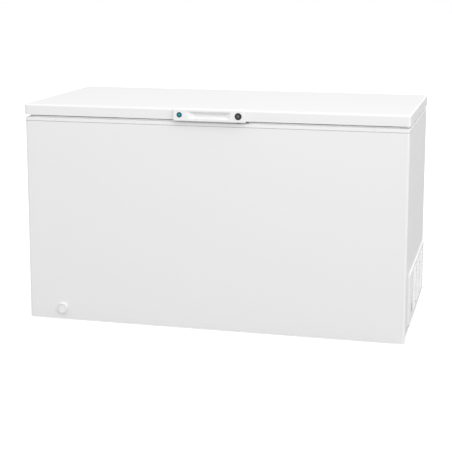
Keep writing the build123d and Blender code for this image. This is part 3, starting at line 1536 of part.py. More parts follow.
# Wire baskets that hang from the collar by four hooks and slide along it.
# Each is made of flat panels joined at their edges.
basket_half_y = collar_inside_y - basket_side_gap
basket_half_x = basket_length / 2
basket_rim = collar_top - basket_rim_below_collar
basket_bottom = basket_rim - basket_depth
basket_middle = collar_inside_x - basket_end_gap - basket_half_x
hook_top = collar_top + basket_hook_wire + fit_gap
hook_end = collar_inside_y + basket_hook_reach
cross_pitch = (basket_length - 2 * basket_hook_from_end) / (basket_cross_wires - 1)
long_pitch = (2 * basket_half_y - 2 * basket_hook_from_end) / (basket_long_wires - 1)
upper_wire = basket_bottom + 2 * basket_wire - basket_weld
turn_reach = basket_bend + basket_bend_tail
hook_steps = (-basket_half_x + basket_hook_from_end / 2, basket_half_x - basket_hook_from_end / 2)
long_places = [
    -basket_half_y + basket_hook_from_end + number * long_pitch for number in range(basket_long_wires)
]
for side, basket_x in (("left", -basket_middle), ("right", basket_middle)):
    low_x = basket_x - basket_half_x
    high_x = basket_x + basket_half_x
    cross_places = [
        low_x + basket_hook_from_end + number * cross_pitch for number in range(basket_cross_wires)
    ]
    # Floor of the net: crossed wires, welded where they meet
    run_y = basket_half_y - turn_reach
    floor_wires = [
        rod((x, -run_y, basket_bottom), (x, run_y, basket_bottom), basket_wire) for x in cross_places
    ]
    for y in long_places:
        left_end = (low_x + turn_reach, y, upper_wire)
        right_end = (high_x - turn_reach, y, upper_wire)
        floor_wires.append(rod(left_end, right_end, basket_wire))
    panels = weld(floor_wires)
    # Long sides: rim, upright wires and the two hooks
    for y_sign in (-1, 1):
        wall_y = y_sign * basket_half_y
        turn_y = y_sign * run_y
        rim_left = (low_x + turn_reach, wall_y, basket_rim)
        rim_right = (high_x - turn_reach, wall_y, basket_rim)
        side_wires = [rod(rim_left, rim_right, basket_rim_wire)]
        for x in cross_places:
            upright = [(x, wall_y, basket_rim), (x, wall_y, basket_bottom), (x, turn_y, basket_bottom)]
            side_wires.append(tube(upright, basket_bend, basket_wire))
        for step in hook_steps:
            hook_x = basket_x + step
            hook_tip = (hook_x, y_sign * hook_end, hook_top)
            hook = [(hook_x, wall_y, basket_rim), (hook_x, wall_y, hook_top), hook_tip]
            side_wires.append(tube(hook, 2 * basket_hook_wire, basket_hook_wire))
        panels.extend(weld(side_wires))
    # Ends: rim and upright wires, with a bent rim corner on each side
    for end_x, turn_x in ((low_x, low_x + turn_reach), (high_x, high_x - turn_reach)):
        end_wires = [rod((end_x, -run_y, basket_rim), (end_x, run_y, basket_rim), basket_rim_wire)]
        for y in long_places:
            upright = [(end_x, y, basket_rim), (end_x, y, upper_wire), (turn_x, y, upper_wire)]
            end_wires.append(tube(upright, basket_bend, basket_wire))
        panels.extend(weld(end_wires))
        for y_sign in (-1, 1):
            wall_y = y_sign * basket_half_y
            corner_end = (end_x, y_sign * run_y, basket_rim)
            corner = [(turn_x, wall_y, basket_rim), (end_x, wall_y, basket_rim), corner_end]
            panels.extend(tube(corner, basket_bend, basket_rim_wire).solids())
    save(Compound(panels), f"basket_{side}")
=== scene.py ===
"""Looks of the chest freezer: finishes, small fittings, studio and camera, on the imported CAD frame."""

import logging
import math
from dataclasses import dataclass, field
from enum import Enum

import bmesh
import bpy
from mathutils import Matrix, Vector


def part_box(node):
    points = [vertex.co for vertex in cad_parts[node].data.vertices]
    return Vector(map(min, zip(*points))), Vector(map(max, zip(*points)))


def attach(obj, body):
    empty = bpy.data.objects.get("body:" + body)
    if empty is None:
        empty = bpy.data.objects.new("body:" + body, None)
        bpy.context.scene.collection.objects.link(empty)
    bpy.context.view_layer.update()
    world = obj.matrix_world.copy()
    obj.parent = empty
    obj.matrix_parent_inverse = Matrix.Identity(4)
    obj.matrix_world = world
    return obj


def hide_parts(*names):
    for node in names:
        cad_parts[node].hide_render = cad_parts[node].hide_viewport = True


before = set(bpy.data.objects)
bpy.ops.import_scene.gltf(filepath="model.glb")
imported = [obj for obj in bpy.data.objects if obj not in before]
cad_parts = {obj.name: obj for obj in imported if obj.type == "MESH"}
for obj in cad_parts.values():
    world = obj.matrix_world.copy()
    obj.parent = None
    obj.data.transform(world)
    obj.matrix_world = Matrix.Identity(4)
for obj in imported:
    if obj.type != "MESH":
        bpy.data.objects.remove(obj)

log = logging.getLogger("chest_freezer")

Triple = tuple[float, float, float]
Colour = Triple
Section = tuple[tuple[float, float], ...]
Node = bpy.types.Node
Socket = bpy.types.NodeSocket
Tree = bpy.types.NodeTree

MM = 0.001
SAME_POINT = 0.001 * MM
RIGHTWARD = Vector((1, 0, 0))
BACKWARD = Vector((0, 1, 0))
UPWARD = Vector((0, 0, 1))
WHITE: Colour = (1.0, 1.0, 1.0)
DUST_GREY: Colour = (0.46, 0.44, 0.41)

# Places of the colour sockets on Blender's mix node
MIX_FIRST = 6
MIX_SECOND = 7
MIX_RESULT = 2

# Values of a pattern between which the roughness changes
PATTERN_LOW = 0.25
PATTERN_HIGH = 0.75


class Effect(Enum):
    """Surface effects that several finishes share, each one a shader node group."""

    PEEL = "sprayed_peel"
    GRAIN = "mould_grain"
    BRUSH = "drawn_lines"
    EMBOSS = "stucco_emboss"
    PATINA = "handled_patina"
    DUST = "settled_dust"


class Kind(Enum):
    """Kinds of sockets on a shared effect."""

    NUMBER = "NodeSocketFloat"
    COLOUR = "NodeSocketColor"


class Body(Enum):
    """Moving bodies of the freezer that carry scene pieces."""

    CABINET = "cabinet"
    LID = "lid"


@dataclass
class Graph:
    """A node tree with short ways to add and join nodes."""

    tree: Tree

    def node(self, kind: str, **settings: object) -> Node:
        """Add a node and set its properties.

        Args:
            kind: Blender's name of the node type.
            settings: Properties of the node, by name.

        Returns:
            The new node.
        """
        made = self.tree.nodes.new(kind)
        for name, value in settings.items():
            setattr(made, name, value)
        return made

    def join(self, source: Socket, target: Socket) -> None:
        """Link one socket to another."""
        self.tree.links.new(source, target)

    def feed(self, target: Socket, value: Socket | Colour | float) -> None:
        """Give a socket what it takes.

        Args:
            target: The socket to feed.
            value: A socket to link, a colour or a number.
        """
        if isinstance(value, Socket):
            self.join(value, target)
        elif isinstance(value, tuple):
            target.default_value = (*value, 1.0)
        else:
            target.default_value = value

    def noise(self, place: Socket, scale: float, detail: float) -> Socket:
        """Add a noise pattern.

        Args:
            place: Socket that gives the position.
            scale: Waves for each unit of the position.
            detail: Number of finer octaves.

        Returns:
            The pattern's socket, from 0 to 1.
        """
        made = self.node("ShaderNodeTexNoise")
        made.inputs["Scale"].default_value = scale
        made.inputs["Detail"].default_value = detail
        self.join(place, made.inputs["Vector"])
        return made.outputs["Fac"]

    def cells(self, place: Socket, scale: float, **settings: object) -> Node:
        """Add a pattern of cells.

        Args:
            place: Socket that gives the position.
            scale: Cells for each unit of the position.
            settings: Properties of the node, by name.

        Returns:
            The pattern's node.
        """
        made = self.node("ShaderNodeTexVoronoi", **settings)
        made.inputs["Scale"].default_value = scale
        self.join(place, made.inputs["Vector"])
        return made

    def math(self, kind: str, first: Socket | float, second: Socket | float) -> Socket:
        """Add a sum, product or other calculation.

        Args:
            kind: Blender's name of the operation.
            first: A socket or a number.
            second: A socket or a number.

        Returns:
            The result's socket.
        """
        made = self.node("ShaderNodeMath", operation=kind)
        self.feed(made.inputs[0], first)
        self.feed(made.inputs[1], second)
        return made.outputs[0]

    def vector(self, kind: str, first: Socket, second: Triple) -> Socket:
        """Add a calculation on a position.

        Args:
            kind: Blender's name of the operation.
            first: Socket that gives the position.
            second: The three numbers to calculate with.

        Returns:
            The result's socket.
        """
        made = self.node("ShaderNodeVectorMath", operation=kind)
        self.join(first, made.inputs[0])
        made.inputs[1].default_value = second
        return made.outputs[0]

    def remap(self, value: Socket, low: float, high: float, start: float, end: float) -> Socket:
        """Map a range of values onto another, clamped.

        Args:
            value: The socket to map.
            low: Lower end of the input.
            high: Upper end of the input.
            start: Result at the lower end.
            end: Result at the upper end.

        Returns:
            The mapped socket.
        """
        made = self.node("ShaderNodeMapRange")
        for name, number in (("From Min", low), ("From Max", high), ("To Min", start), ("To Max", end)):
            made.inputs[name].default_value = number
        self.join(value, made.inputs["Value"])
        return made.outputs["Result"]

    def blend(self, share: Socket, first: Socket | Colour, second: Socket | Colour) -> Socket:
        """Mix two colours.

        Args:
            share: Socket that gives the share of the second colour.
            first: A socket or a colour.
            second: A socket or a colour.

        Returns:
            The mixed colour's socket.
        """
        made = self.node("ShaderNodeMix", data_type="RGBA")
        self.join(share, made.inputs["Factor"])
        self.feed(made.inputs[MIX_FIRST], first)
        self.feed(made.inputs[MIX_SECOND], second)
        return made.outputs[MIX_RESULT]


@dataclass
class EffectShop:
    """Builds each shared effect once and hands out copies of it."""

    made: dict[Effect, Tree] = field(default_factory=dict)
    peel_detail: float = 1.5
    tone_scale: float = 0.006
    tone_detail: float = 3.0
    fine_grain_scale: float = 2.3
    fine_grain_detail: float = 2.0
    flow_scale: float = 0.02
    flow_detail: float = 2.0
    line_stretch: Triple = (1.0, 1.0, 0.05)
    line_detail: float = 4.0
    spangle_scale: float = 0.12
    pebble_smoothness: float = 0.7
    cloud_detail: float = 5.0
    cloud_range: tuple[float, float] = (0.42, 0.68)
    specks_per_metre: float = 160.0
    speck_detail: float = 4.0
    speck_range: tuple[float, float] = (0.35, 0.75)
    level_from: float = 0.6
    scuff_height: float = 60.0 * MM

    def place(self, graph: Graph, effect: Effect, **values: Socket | Colour | float) -> Node:
        """Put an effect into a material.

        Args:
            graph: The material's tree.
            effect: Which effect.
            values: Values of the group's inputs, by name.

        Returns:
            The group node.
        """
        if effect not in self.made:
            self.made[effect] = getattr(self, f"build_{effect.name.lower()}")(effect.value)
        made = graph.node("ShaderNodeGroup", node_tree=self.made[effect])
        for name, value in values.items():
            graph.feed(made.inputs[name], value)
        return made

    def start(
        self, name: str, inputs: dict[str, Kind], outputs: dict[str, Kind]
    ) -> tuple[Graph, Node, Node]:
        """Make an empty group with its sockets.

        Args:
            name: The group's name.
            inputs: Socket name to kind of socket.
            outputs: Socket name to kind of socket.

        Returns:
            The group's graph, its input node and its output node.
        """
        tree = bpy.data.node_groups.new(name, "ShaderNodeTree")
        for label, kind in inputs.items():
            tree.interface.new_socket(name=label, in_out="INPUT", socket_type=kind.value)
        for label, kind in outputs.items():
            tree.interface.new_socket(name=label, in_out="OUTPUT", socket_type=kind.value)
        graph = Graph(tree)
        return graph, graph.node("NodeGroupInput"), graph.node("NodeGroupOutput")

    def position(self, graph: Graph, scale: Socket, stretch: Triple = (1.0, 1.0, 1.0)) -> Socket:
        """Give the place on the object, in metres times a scale.

        Args:
            graph: The group's graph.
            scale: Socket that multiplies the position.
            stretch: Extra factor along each axis.

        Returns:
            The scaled position's socket.
        """
        place = graph.node("ShaderNodeTexCoord").outputs["Object"]
        scaled = graph.node("ShaderNodeVectorMath", operation="SCALE")
        graph.join(graph.vector("MULTIPLY", place, stretch), scaled.inputs[0])
        graph.join(scale, scaled.inputs["Scale"])
        return scaled.outputs[0]

    def build_peel(self, name: str) -> Tree:
        """Make the faint orange peel of sprayed enamel, with slow changes of tone.

        Args:
            name: The group's name.

        Returns:
            The group, with a height and a tone.
        """
        graph, inside, outside = self.start(
            name, {"Scale": Kind.NUMBER}, {"Height": Kind.NUMBER, "Tone": Kind.NUMBER}
        )
        place = self.position(graph, inside.outputs["Scale"])
        graph.join(graph.noise(place, 1.0, self.peel_detail), outside.inputs["Height"])
        graph.join(graph.noise(place, self.tone_scale, self.tone_detail), outside.inputs["Tone"])
        return graph.tree

    def build_grain(self, name: str) -> Tree:
        """Make the spark-eroded grain of a moulding, with flow marks.

        Args:
            name: The group's name.

        Returns:
            The group, with a height and the flow marks.
        """
        graph, inside, outside = self.start(
            name, {"Scale": Kind.NUMBER}, {"Height": Kind.NUMBER, "Flow": Kind.NUMBER}
        )
        place = self.position(graph, inside.outputs["Scale"])
        pits = graph.cells(place, 1.0, feature="SMOOTH_F1").outputs["Distance"]
        fine = graph.noise(place, self.fine_grain_scale, self.fine_grain_detail)
        graph.join(graph.math("ADD", pits, fine), outside.inputs["Height"])
        graph.join(graph.noise(place, self.flow_scale, self.flow_detail), outside.inputs["Flow"])
        return graph.tree

    def build_brush(self, name: str) -> Tree:
        """Make the fine lines of rolled or drawn metal, with plating spangle.

        Args:
            name: The group's name.

        Returns:
            The group, with a height and the spangle.
        """
        graph, inside, outside = self.start(
            name, {"Scale": Kind.NUMBER}, {"Height": Kind.NUMBER, "Spangle": Kind.NUMBER}
        )
        drawn = self.position(graph, inside.outputs["Scale"], self.line_stretch)
        graph.join(graph.noise(drawn, 1.0, self.line_detail), outside.inputs["Height"])
        even = self.position(graph, inside.outputs["Scale"])
        split = graph.node("ShaderNodeSeparateColor")
        graph.join(graph.cells(even, self.spangle_scale).outputs["Color"], split.inputs[0])
        graph.join(split.outputs[0], outside.inputs["Spangle"])
        return graph.tree

    def build_emboss(self, name: str) -> Tree:
        """Make the pebbled emboss of liner sheet.

        Args:
            name: The group's name.

        Returns:
            The group, with a height.
        """
        graph, inside, outside = self.start(name, {"Scale": Kind.NUMBER}, {"Height": Kind.NUMBER})
        place = self.position(graph, inside.outputs["Scale"])
        pebbles = graph.cells(place, 1.0, feature="SMOOTH_F1")
        pebbles.inputs["Smoothness"].default_value = self.pebble_smoothness
        graph.join(pebbles.outputs["Distance"], outside.inputs["Height"])
        return graph.tree

    def build_patina(self, name: str) -> Tree:
        """Make the cloudy darkening of handled or heated metal.

        Args:
            name: The group's name.

        Returns:
            The group, with a colour and a mask of the stains.
        """
        graph, inside, outside = self.start(
            name,
            {"Scale": Kind.NUMBER, "Amount": Kind.NUMBER, "Clean": Kind.COLOUR, "Stained": Kind.COLOUR},
            {"Colour": Kind.COLOUR, "Mask": Kind.NUMBER},
        )
        place = self.position(graph, inside.outputs["Scale"])
        cloud = graph.remap(graph.noise(place, 1.0, self.cloud_detail), *self.cloud_range, 0.0, 1.0)
        share = graph.math("MULTIPLY", cloud, inside.outputs["Amount"])
        mixed = graph.blend(share, inside.outputs["Clean"], inside.outputs["Stained"])
        graph.join(mixed, outside.inputs["Colour"])
        graph.join(share, outside.inputs["Mask"])
        return graph.tree

    def build_dust(self, name: str) -> Tree:
        """Make the dust on faces that look up and the scuffs close to the floor.

        Args:
            name: The group's name.

        Returns:
            The group, with a colour.
        """
        graph, inside, outside = self.start(
            name,
            {"Colour": Kind.COLOUR, "Dust": Kind.COLOUR, "Settled": Kind.NUMBER, "Scuffed": Kind.NUMBER},
            {"Colour": Kind.COLOUR},
        )
        place = graph.node("ShaderNodeTexCoord")
        facing = graph.node("ShaderNodeSeparateXYZ")
        graph.join(place.outputs["Normal"], facing.inputs[0])
        height = graph.node("ShaderNodeSeparateXYZ")
        graph.join(place.outputs["Object"], height.inputs[0])
        noise = graph.noise(place.outputs["Object"], self.specks_per_metre, self.speck_detail)
        speck = graph.remap(noise, *self.speck_range, 0.0, 1.0)
        level = graph.remap(facing.outputs["Z"], self.level_from, 1.0, 0.0, 1.0)
        settled = graph.math("MULTIPLY", graph.math("MULTIPLY", level, speck), inside.outputs["Settled"])
        low = graph.remap(height.outputs["Z"], 0.0, self.scuff_height, 1.0, 0.0)
        scuffed = graph.math("MULTIPLY", graph.math("MULTIPLY", low, speck), inside.outputs["Scuffed"])
        share = graph.math("MAXIMUM", settled, scuffed)
        dusty = graph.blend(share, inside.outputs["Colour"], inside.outputs["Dust"])
        graph.join(dusty, outside.inputs["Colour"])
        return graph.tree


shop = EffectShop()


@dataclass(frozen=True)
class Finish:
    """A surface finish, with the values that are the same all over it."""

    name: str
    colour: Colour
    roughness: float
    metallic: float = 0.0
    coat: float = 0.0
    coat_roughness: float = 0.12
    dust: float = 0.0
    scuff_per_dust: float = 2.0

    def material(self) -> bpy.types.Material:
        """Give the finish's material, built the first time it is asked for.

        Returns:
            The material.
        """
        made = bpy.data.materials.get(self.name)
        if made is None:
            made = bpy.data.materials.new(self.name)
            made.use_nodes = True
            made.diffuse_color = (*self.colour, 1.0)
            graph = Graph(made.node_tree)
            shader = made.node_tree.nodes["Principled BSDF"]
            graph.feed(shader.inputs["Base Color"], self.colour)
            graph.feed(shader.inputs["Roughness"], self.roughness)
            graph.feed(shader.inputs["Metallic"], self.metallic)
            graph.feed(shader.inputs["Coat Weight"], self.coat)
            graph.feed(shader.inputs["Coat Roughness"], self.coat_roughness)
            self.dress(graph, shader)
        return made

    def dress(self, graph: Graph, shader: Node) -> None:
        """Add the finish's surface detail, which each kind of finish gives."""
        raise NotImplementedError

    def bump(self, graph: Graph, shader: Node, height: Socket, depth: float) -> None:
        """Raise the surface by a height.

        Args:
            graph: The material's tree.
            shader: Its Principled shader.
            height: Socket that gives the height, from 0 to 1.
            depth: What a height of 1 stands for, in metres.
        """
        made = graph.node("ShaderNodeBump")
        made.inputs["Strength"].default_value = 1.0
        made.inputs["Distance"].default_value = depth
        graph.join(height, made.inputs["Height"])
        graph.join(made.outputs["Normal"], shader.inputs["Normal"])

    def soil(self, graph: Graph, shader: Node, colour: Socket, scuffs: float) -> None:
        """Lay dust and scuffs over a colour.

        Args:
            graph: The material's tree.
            shader: Its Principled shader.
            colour: Socket that gives the clean colour.
            scuffs: Share of dust colour in the scuffs near the floor.
        """
        worn = shop.place(
            graph, Effect.DUST, Colour=colour, Dust=DUST_GREY, Settled=self.dust, Scuffed=scuffs
        )
        graph.join(worn.outputs["Colour"], shader.inputs["Base Color"])

    def tint(self, graph: Graph, shader: Node, share: Socket, change: float) -> None:
        """Vary the colour a little and lay dust over it.

        Args:
            graph: The material's tree.
            shader: Its Principled shader.
            share: Socket that gives the pattern, from 0 to 1.
            change: How much darker the pattern makes the colour.
        """
        darker = tuple(part * (1.0 - change) for part in self.colour)
        mixed = graph.blend(share, self.colour, darker)
        self.soil(graph, shader, mixed, min(1.0, self.dust * self.scuff_per_dust))

    def vary(self, graph: Graph, shader: Node, share: Socket, spread: float) -> None:
        """Vary the roughness around its value.

        Args:
            graph: The material's tree.
            shader: Its Principled shader.
            share: Socket that gives the pattern, from 0 to 1.
            spread: Half of the whole change.
        """
        smooth = self.roughness - spread
        rough = self.roughness + spread
        graph.join(graph.remap(share, PATTERN_LOW, PATTERN_HIGH, smooth, rough), shader.inputs["Roughness"])


@dataclass(frozen=True)
class SprayedSteel(Finish):
    """Sheet steel with baked enamel."""

    peel_per_metre: float = 620.0
    peel_depth: float = 0.02 * MM
    tone: float = 0.012
    spread: float = 0.03

    def dress(self, graph: Graph, shader: Node) -> None:
        """Add orange peel, slow tone changes and light dust.

        Args:
            graph: The material's tree.
            shader: Its Principled shader.
        """
        peel = shop.place(graph, Effect.PEEL, Scale=self.peel_per_metre)
        self.bump(graph, shader, peel.outputs["Height"], self.peel_depth)
        self.tint(graph, shader, peel.outputs["Tone"], self.tone)
        self.vary(graph, shader, peel.outputs["Tone"], self.spread)


@dataclass(frozen=True)
class MouldedPlastic(Finish):
    """Injection-moulded plastic with a fine tool grain."""

    grain_per_metre: float = 1500.0
    grain_depth: float = 0.03 * MM
    tone: float = 0.02
    spread: float = 0.05

    def dress(self, graph: Graph, shader: Node) -> None:
        """Add mould grain and flow marks.

        Args:
            graph: The material's tree.
            shader: Its Principled shader.
        """
        grain = shop.place(graph, Effect.GRAIN, Scale=self.grain_per_metre)
        self.bump(graph, shader, grain.outputs["Height"], self.grain_depth)
        self.tint(graph, shader, grain.outputs["Flow"], self.tone)
        self.vary(graph, shader, grain.outputs["Flow"], self.spread)


@dataclass(frozen=True)
class PlatedSteel(Finish):
    """Zinc-plated or bare metal with rolling lines."""

    lines_per_metre: float = 2600.0
    line_depth: float = 0.01 * MM
    spangle: float = 0.14
    spread: float = 0.07

    def dress(self, graph: Graph, shader: Node) -> None:
        """Add drawn lines and spangle.

        Args:
            graph: The material's tree.
            shader: Its Principled shader.
        """
        lines = shop.place(graph, Effect.BRUSH, Scale=self.lines_per_metre)
        self.bump(graph, shader, lines.outputs["Height"], self.line_depth)
        self.tint(graph, shader, lines.outputs["Spangle"], self.spangle)
        self.vary(graph, shader, lines.outputs["Spangle"], self.spread)


@dataclass(frozen=True)
class EmbossedSheet(Finish):
    """Sheet or cut foam whose face is covered with pebbles or cells."""

    pebbles_per_metre: float = 190.0
    pebble_depth: float = 0.5 * MM
    tone: float = 0.05

    def dress(self, graph: Graph, shader: Node) -> None:
        """Add the pebbles and the tone between them.

        Args:
            graph: The material's tree.
            shader: Its Principled shader.
        """
        pebbles = shop.place(graph, Effect.EMBOSS, Scale=self.pebbles_per_metre)
        self.bump(graph, shader, pebbles.outputs["Height"], self.pebble_depth)
        self.tint(graph, shader, pebbles.outputs["Height"], self.tone)


@dataclass(frozen=True)
class DrawnTube(Finish):
    """Refrigerant tube or pot with stains from brazing and heat."""

    stain: Colour = (0.2, 0.1, 0.06)
    clouds_per_metre: float = 40.0
    amount: float = 0.55
    lines_per_metre: float = 1800.0
    line_depth: float = 0.01 * MM
    spread: float = 0.1

    def dress(self, graph: Graph, shader: Node) -> None:
        """Add cloudy stains, dust and drawing lines.

        Args:
            graph: The material's tree.
            shader: Its Principled shader.
        """
        cloud = shop.place(
            graph,
            Effect.PATINA,
            Scale=self.clouds_per_metre,
            Amount=self.amount,
            Clean=self.colour,
            Stained=self.stain,
        )
        self.soil(graph, shader, cloud.outputs["Colour"], 0.0)
        self.vary(graph, shader, cloud.outputs["Mask"], self.spread)
        lines = shop.place(graph, Effect.BRUSH, Scale=self.lines_per_metre)
        self.bump(graph, shader, lines.outputs["Height"], self.line_depth)


@dataclass(frozen=True)
class GlowingLens(Finish):
    """Lit pilot lens, brightest in its middle."""

    glow: Colour = WHITE
    strength: float = 1.0
    centre: Triple = (0.0, 0.0, 0.0)
    across_face: Triple = (1.0, 0.0, 1.0)
    reach: float = 8.0 * MM
    rim_share: float = 0.12
    grain_per_metre: float = 900.0
    grain_depth: float = 0.02 * MM

    def dress(self, graph: Graph, shader: Node) -> None:
        """Fade the glow from the lens's middle to its rim.

        Args:
            graph: The material's tree.
            shader: Its Principled shader.
        """
        place = graph.node("ShaderNodeTexCoord").outputs["Object"]
        away = graph.vector("SUBTRACT", place, self.centre)
        span = graph.node("ShaderNodeVectorMath", operation="LENGTH")
        graph.join(graph.vector("MULTIPLY", away, self.across_face), span.inputs[0])
        share = graph.remap(span.outputs["Value"], 0.0, self.reach, 0.0, 1.0)
        rim = tuple(part * self.rim_share for part in self.glow)
        graph.join(graph.blend(share, self.glow, rim), shader.inputs["Emission Color"])
        shader.inputs["Emission Strength"].default_value = self.strength
        grain = shop.place(graph, Effect.GRAIN, Scale=self.grain_per_metre)
        self.bump(graph, shader, grain.outputs["Height"], self.grain_depth)


@dataclass(frozen=True)
class ClearCover(Finish):
    """Milky moulded cover with prism ribs, about 80 to a metre."""

    rib_scale: float = 25.0
    rib_depth: float = 0.6 * MM
    clearness: float = 0.45

    def dress(self, graph: Graph, shader: Node) -> None:
        """Add prism ribs and a milky depth.

        Args:
            graph: The material's tree.
            shader: Its Principled shader.
        """
        shader.inputs["Transmission Weight"].default_value = self.clearness
        ribs = graph.node("ShaderNodeTexWave", bands_direction="X", wave_profile="SIN")
        ribs.inputs["Scale"].default_value = self.rib_scale
        graph.join(graph.node("ShaderNodeTexCoord").outputs["Object"], ribs.inputs["Vector"])
        self.bump(graph, shader, ribs.outputs["Fac"], self.rib_depth)


WHITE_ENAMEL = SprayedSteel("white_enamel", (0.84, 0.84, 0.84), 0.34, coat=0.15, dust=0.015)
# A lighter copy of the white enamel for the lid: painted light, its brightness set for how the lid's top is
# lit.
LIT_LID_ENAMEL = SprayedSteel("lit_lid_enamel", (0.845, 0.845, 0.845), 0.34, coat=0.15, dust=0.01)
GREY_ENAMEL = SprayedSteel("grey_enamel", (0.56, 0.57, 0.58), 0.42, dust=0.10, tone=0.05)
BLACK_ENAMEL = SprayedSteel("black_enamel", (0.025, 0.025, 0.028), 0.38, dust=0.30, tone=0.15)
LINER_ENAMEL = EmbossedSheet("liner_enamel", (0.82, 0.83, 0.84), 0.35)
WHITE_MOULDING = MouldedPlastic("white_moulding", (0.865, 0.865, 0.865), 0.38, dust=0.01)
HANDLE_MOULDING = MouldedPlastic("handle_moulding", (0.86, 0.86, 0.86), 0.4, dust=0.01)
GRILLE_MOULDING = MouldedPlastic("grille_moulding", (0.85, 0.85, 0.85), 0.42, dust=0.01)
PANEL_SHEET = MouldedPlastic("panel_sheet", (0.83, 0.84, 0.84), 0.45, grain_per_metre=600.0)
GREY_MOULDING = MouldedPlastic("grey_moulding", (0.30, 0.31, 0.32), 0.5, dust=0.08)
DIAL_MOULDING = MouldedPlastic("dial_moulding", (0.58, 0.585, 0.59), 0.45)
BLACK_MOULDING = MouldedPlastic("black_moulding", (0.022, 0.022, 0.024), 0.4, grain_depth=0.02 * MM)
TEAL_MOULDING = MouldedPlastic("teal_moulding", (0.006, 0.06, 0.068), 0.3)
ZINC_PLATE = PlatedSteel("zinc_plate", (0.60, 0.61, 0.62), 0.36, metallic=1.0)
LOCK_STEEL = PlatedSteel("lock_steel", (0.24, 0.245, 0.25), 0.32, metallic=1.0, spangle=0.05)
DULL_ALUMINIUM = DrawnTube(
    "dull_aluminium", (0.70, 0.71, 0.72), 0.4, metallic=1.0, stain=(0.42, 0.42, 0.42)
)
COPPER = DrawnTube("brazed_copper", (0.74, 0.40, 0.25), 0.34, metallic=1.0, dust=0.1)
POT_ENAMEL = DrawnTube("pot_enamel", (0.022, 0.022, 0.024), 0.36, stain=(0.05, 0.045, 0.04), dust=0.35)
SEAL_RUBBER = MouldedPlastic("seal_rubber", (0.80, 0.81, 0.81), 0.62, grain_per_metre=900.0)
BLACK_RUBBER = MouldedPlastic("black_rubber", (0.02, 0.02, 0.02), 0.7, dust=0.2)
BOARD_GREEN = MouldedPlastic("board_green", (0.04, 0.20, 0.09), 0.45)
PALE_FOAM = EmbossedSheet(
    "pale_foam", (0.82, 0.72, 0.45), 0.85, pebbles_per_metre=700.0, pebble_depth=0.6 * MM, tone=0.25
)
WIRE_COAT = MouldedPlastic("wire_coat", (0.83, 0.84, 0.84), 0.3, coat=0.3, grain_per_metre=500.0)
LAMP_COVER = ClearCover("lamp_cover_milk", (0.86, 0.88, 0.88), 0.3)
# Grey for the strip in the collar seam: painted shade, a dark line standing in for the seam's shadow.
SEAM_SHADE_GREY = MouldedPlastic("painted_seam_shade", (0.42, 0.42, 0.43), 0.7, grain_per_metre=700.0)
# Near-black sheet laid on screw heads: painted shade standing in for the shadow inside each cross recess.
PAINTED_RECESS_SHADE = MouldedPlastic("painted_recess_shade", (0.03, 0.03, 0.032), 0.7)
MARK_INK = MouldedPlastic("mark_ink", (0.16, 0.165, 0.17), 0.55)
PALE_FLOOR = SprayedSteel("pale_floor", (0.4, 0.4, 0.4), 0.9, peel_depth=0.0, tone=0.0)

NODE_FINISHES: dict[Finish, tuple[str, ...]] = {
    WHITE_ENAMEL: ("cabinet_skin", "grille_screws"),
    # The lid pan takes the lit copy of the enamel: painted light.
    LIT_LID_ENAMEL: ("lid_pan",),
    GREY_ENAMEL: ("back_panel", "bulkhead", "base_pan", "machine_base"),
    BLACK_ENAMEL: ("base_rails", "condenser_coil"),
    POT_ENAMEL: ("compressor",),
    LINER_ENAMEL: ("inner_liner",),
    WHITE_MOULDING: (
        "collar_back", "collar_corners", "collar_front", "collar_left", "collar_right",
        "drain_cap", "drain_flange", "drain_stopper", "drain_tube",
    ),
    HANDLE_MOULDING: ("handle",),
    GRILLE_MOULDING: ("side_grille",),
    PANEL_SHEET: ("lid_inner_panel",),
    GREY_MOULDING: ("hinge_plunger_left", "hinge_plunger_right", "terminal_cover", "thermostat"),
    DIAL_MOULDING: ("control_dial",),
    BLACK_MOULDING: ("lock_bezel", "lock_housing", "cord_gland", "rail_glides"),
    TEAL_MOULDING: ("light_bezel",),
    ZINC_PLATE: (
        "compressor_bolts", "hinge_base_left", "hinge_base_right", "hinge_base_screws", "hinge_leaf_left",
        "hinge_leaf_right", "hinge_leaf_screws", "hinge_pins", "hinge_springs", "lock_cam",
    ),
    LOCK_STEEL: ("lock_cylinder",),
    DULL_ALUMINIUM: ("evaporator_coil",),
    COPPER: ("capillary_tube", "discharge_line", "filter_drier", "suction_line"),
    SEAL_RUBBER: ("lid_gasket",),
    # The seam strip's grey is painted shade of the collar seam.
    SEAM_SHADE_GREY: ("seam_strip",),
    BLACK_RUBBER: ("compressor_mounts",),
    BOARD_GREEN: ("lamp_board",),
    PALE_FOAM: ("cabinet_foam", "lid_foam"),
    WIRE_COAT: ("basket_left", "basket_right"),
    LAMP_COVER: ("lamp_cover",),
}


def clothe(piece: bpy.types.Object, finish: Finish) -> None:
    """Give a piece one finish in place of all its materials."""
    piece.data.materials.clear()
    piece.data.materials.append(finish.material())


def node_box(node: str) -> tuple[Vector, Vector]:
    """Give the lowest and highest corner of a CAD node, as vectors."""
    low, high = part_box(node)
    return Vector(low), Vector(high)


def solid_boxes(node: str) -> list[tuple[Vector, Vector]]:
    """Find the separate solids of a CAD node.

    Args:
        node: The node's name.

    Returns:
        Lowest and highest corner of each solid.
    """
    mesh = bmesh.new()
    mesh.from_mesh(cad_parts[node].data)
    bmesh.ops.remove_doubles(mesh, verts=mesh.verts, dist=SAME_POINT)
    left = set(mesh.verts)
    boxes = []
    while left:
        reached = [left.pop()]
        solid = list(reached)
        while reached:
            for edge in reached.pop().link_edges:
                for vert in edge.verts:
                    if vert in left:
                        left.remove(vert)
                        reached.append(vert)
                        solid.append(vert)
        low = Vector(min(v.co[axis] for v in solid) for axis in range(3))
        high = Vector(max(v.co[axis] for v in solid) for axis in range(3))
        boxes.append((low, high))
    mesh.free()
    return sorted(boxes, key=lambda box: tuple(box[0]))


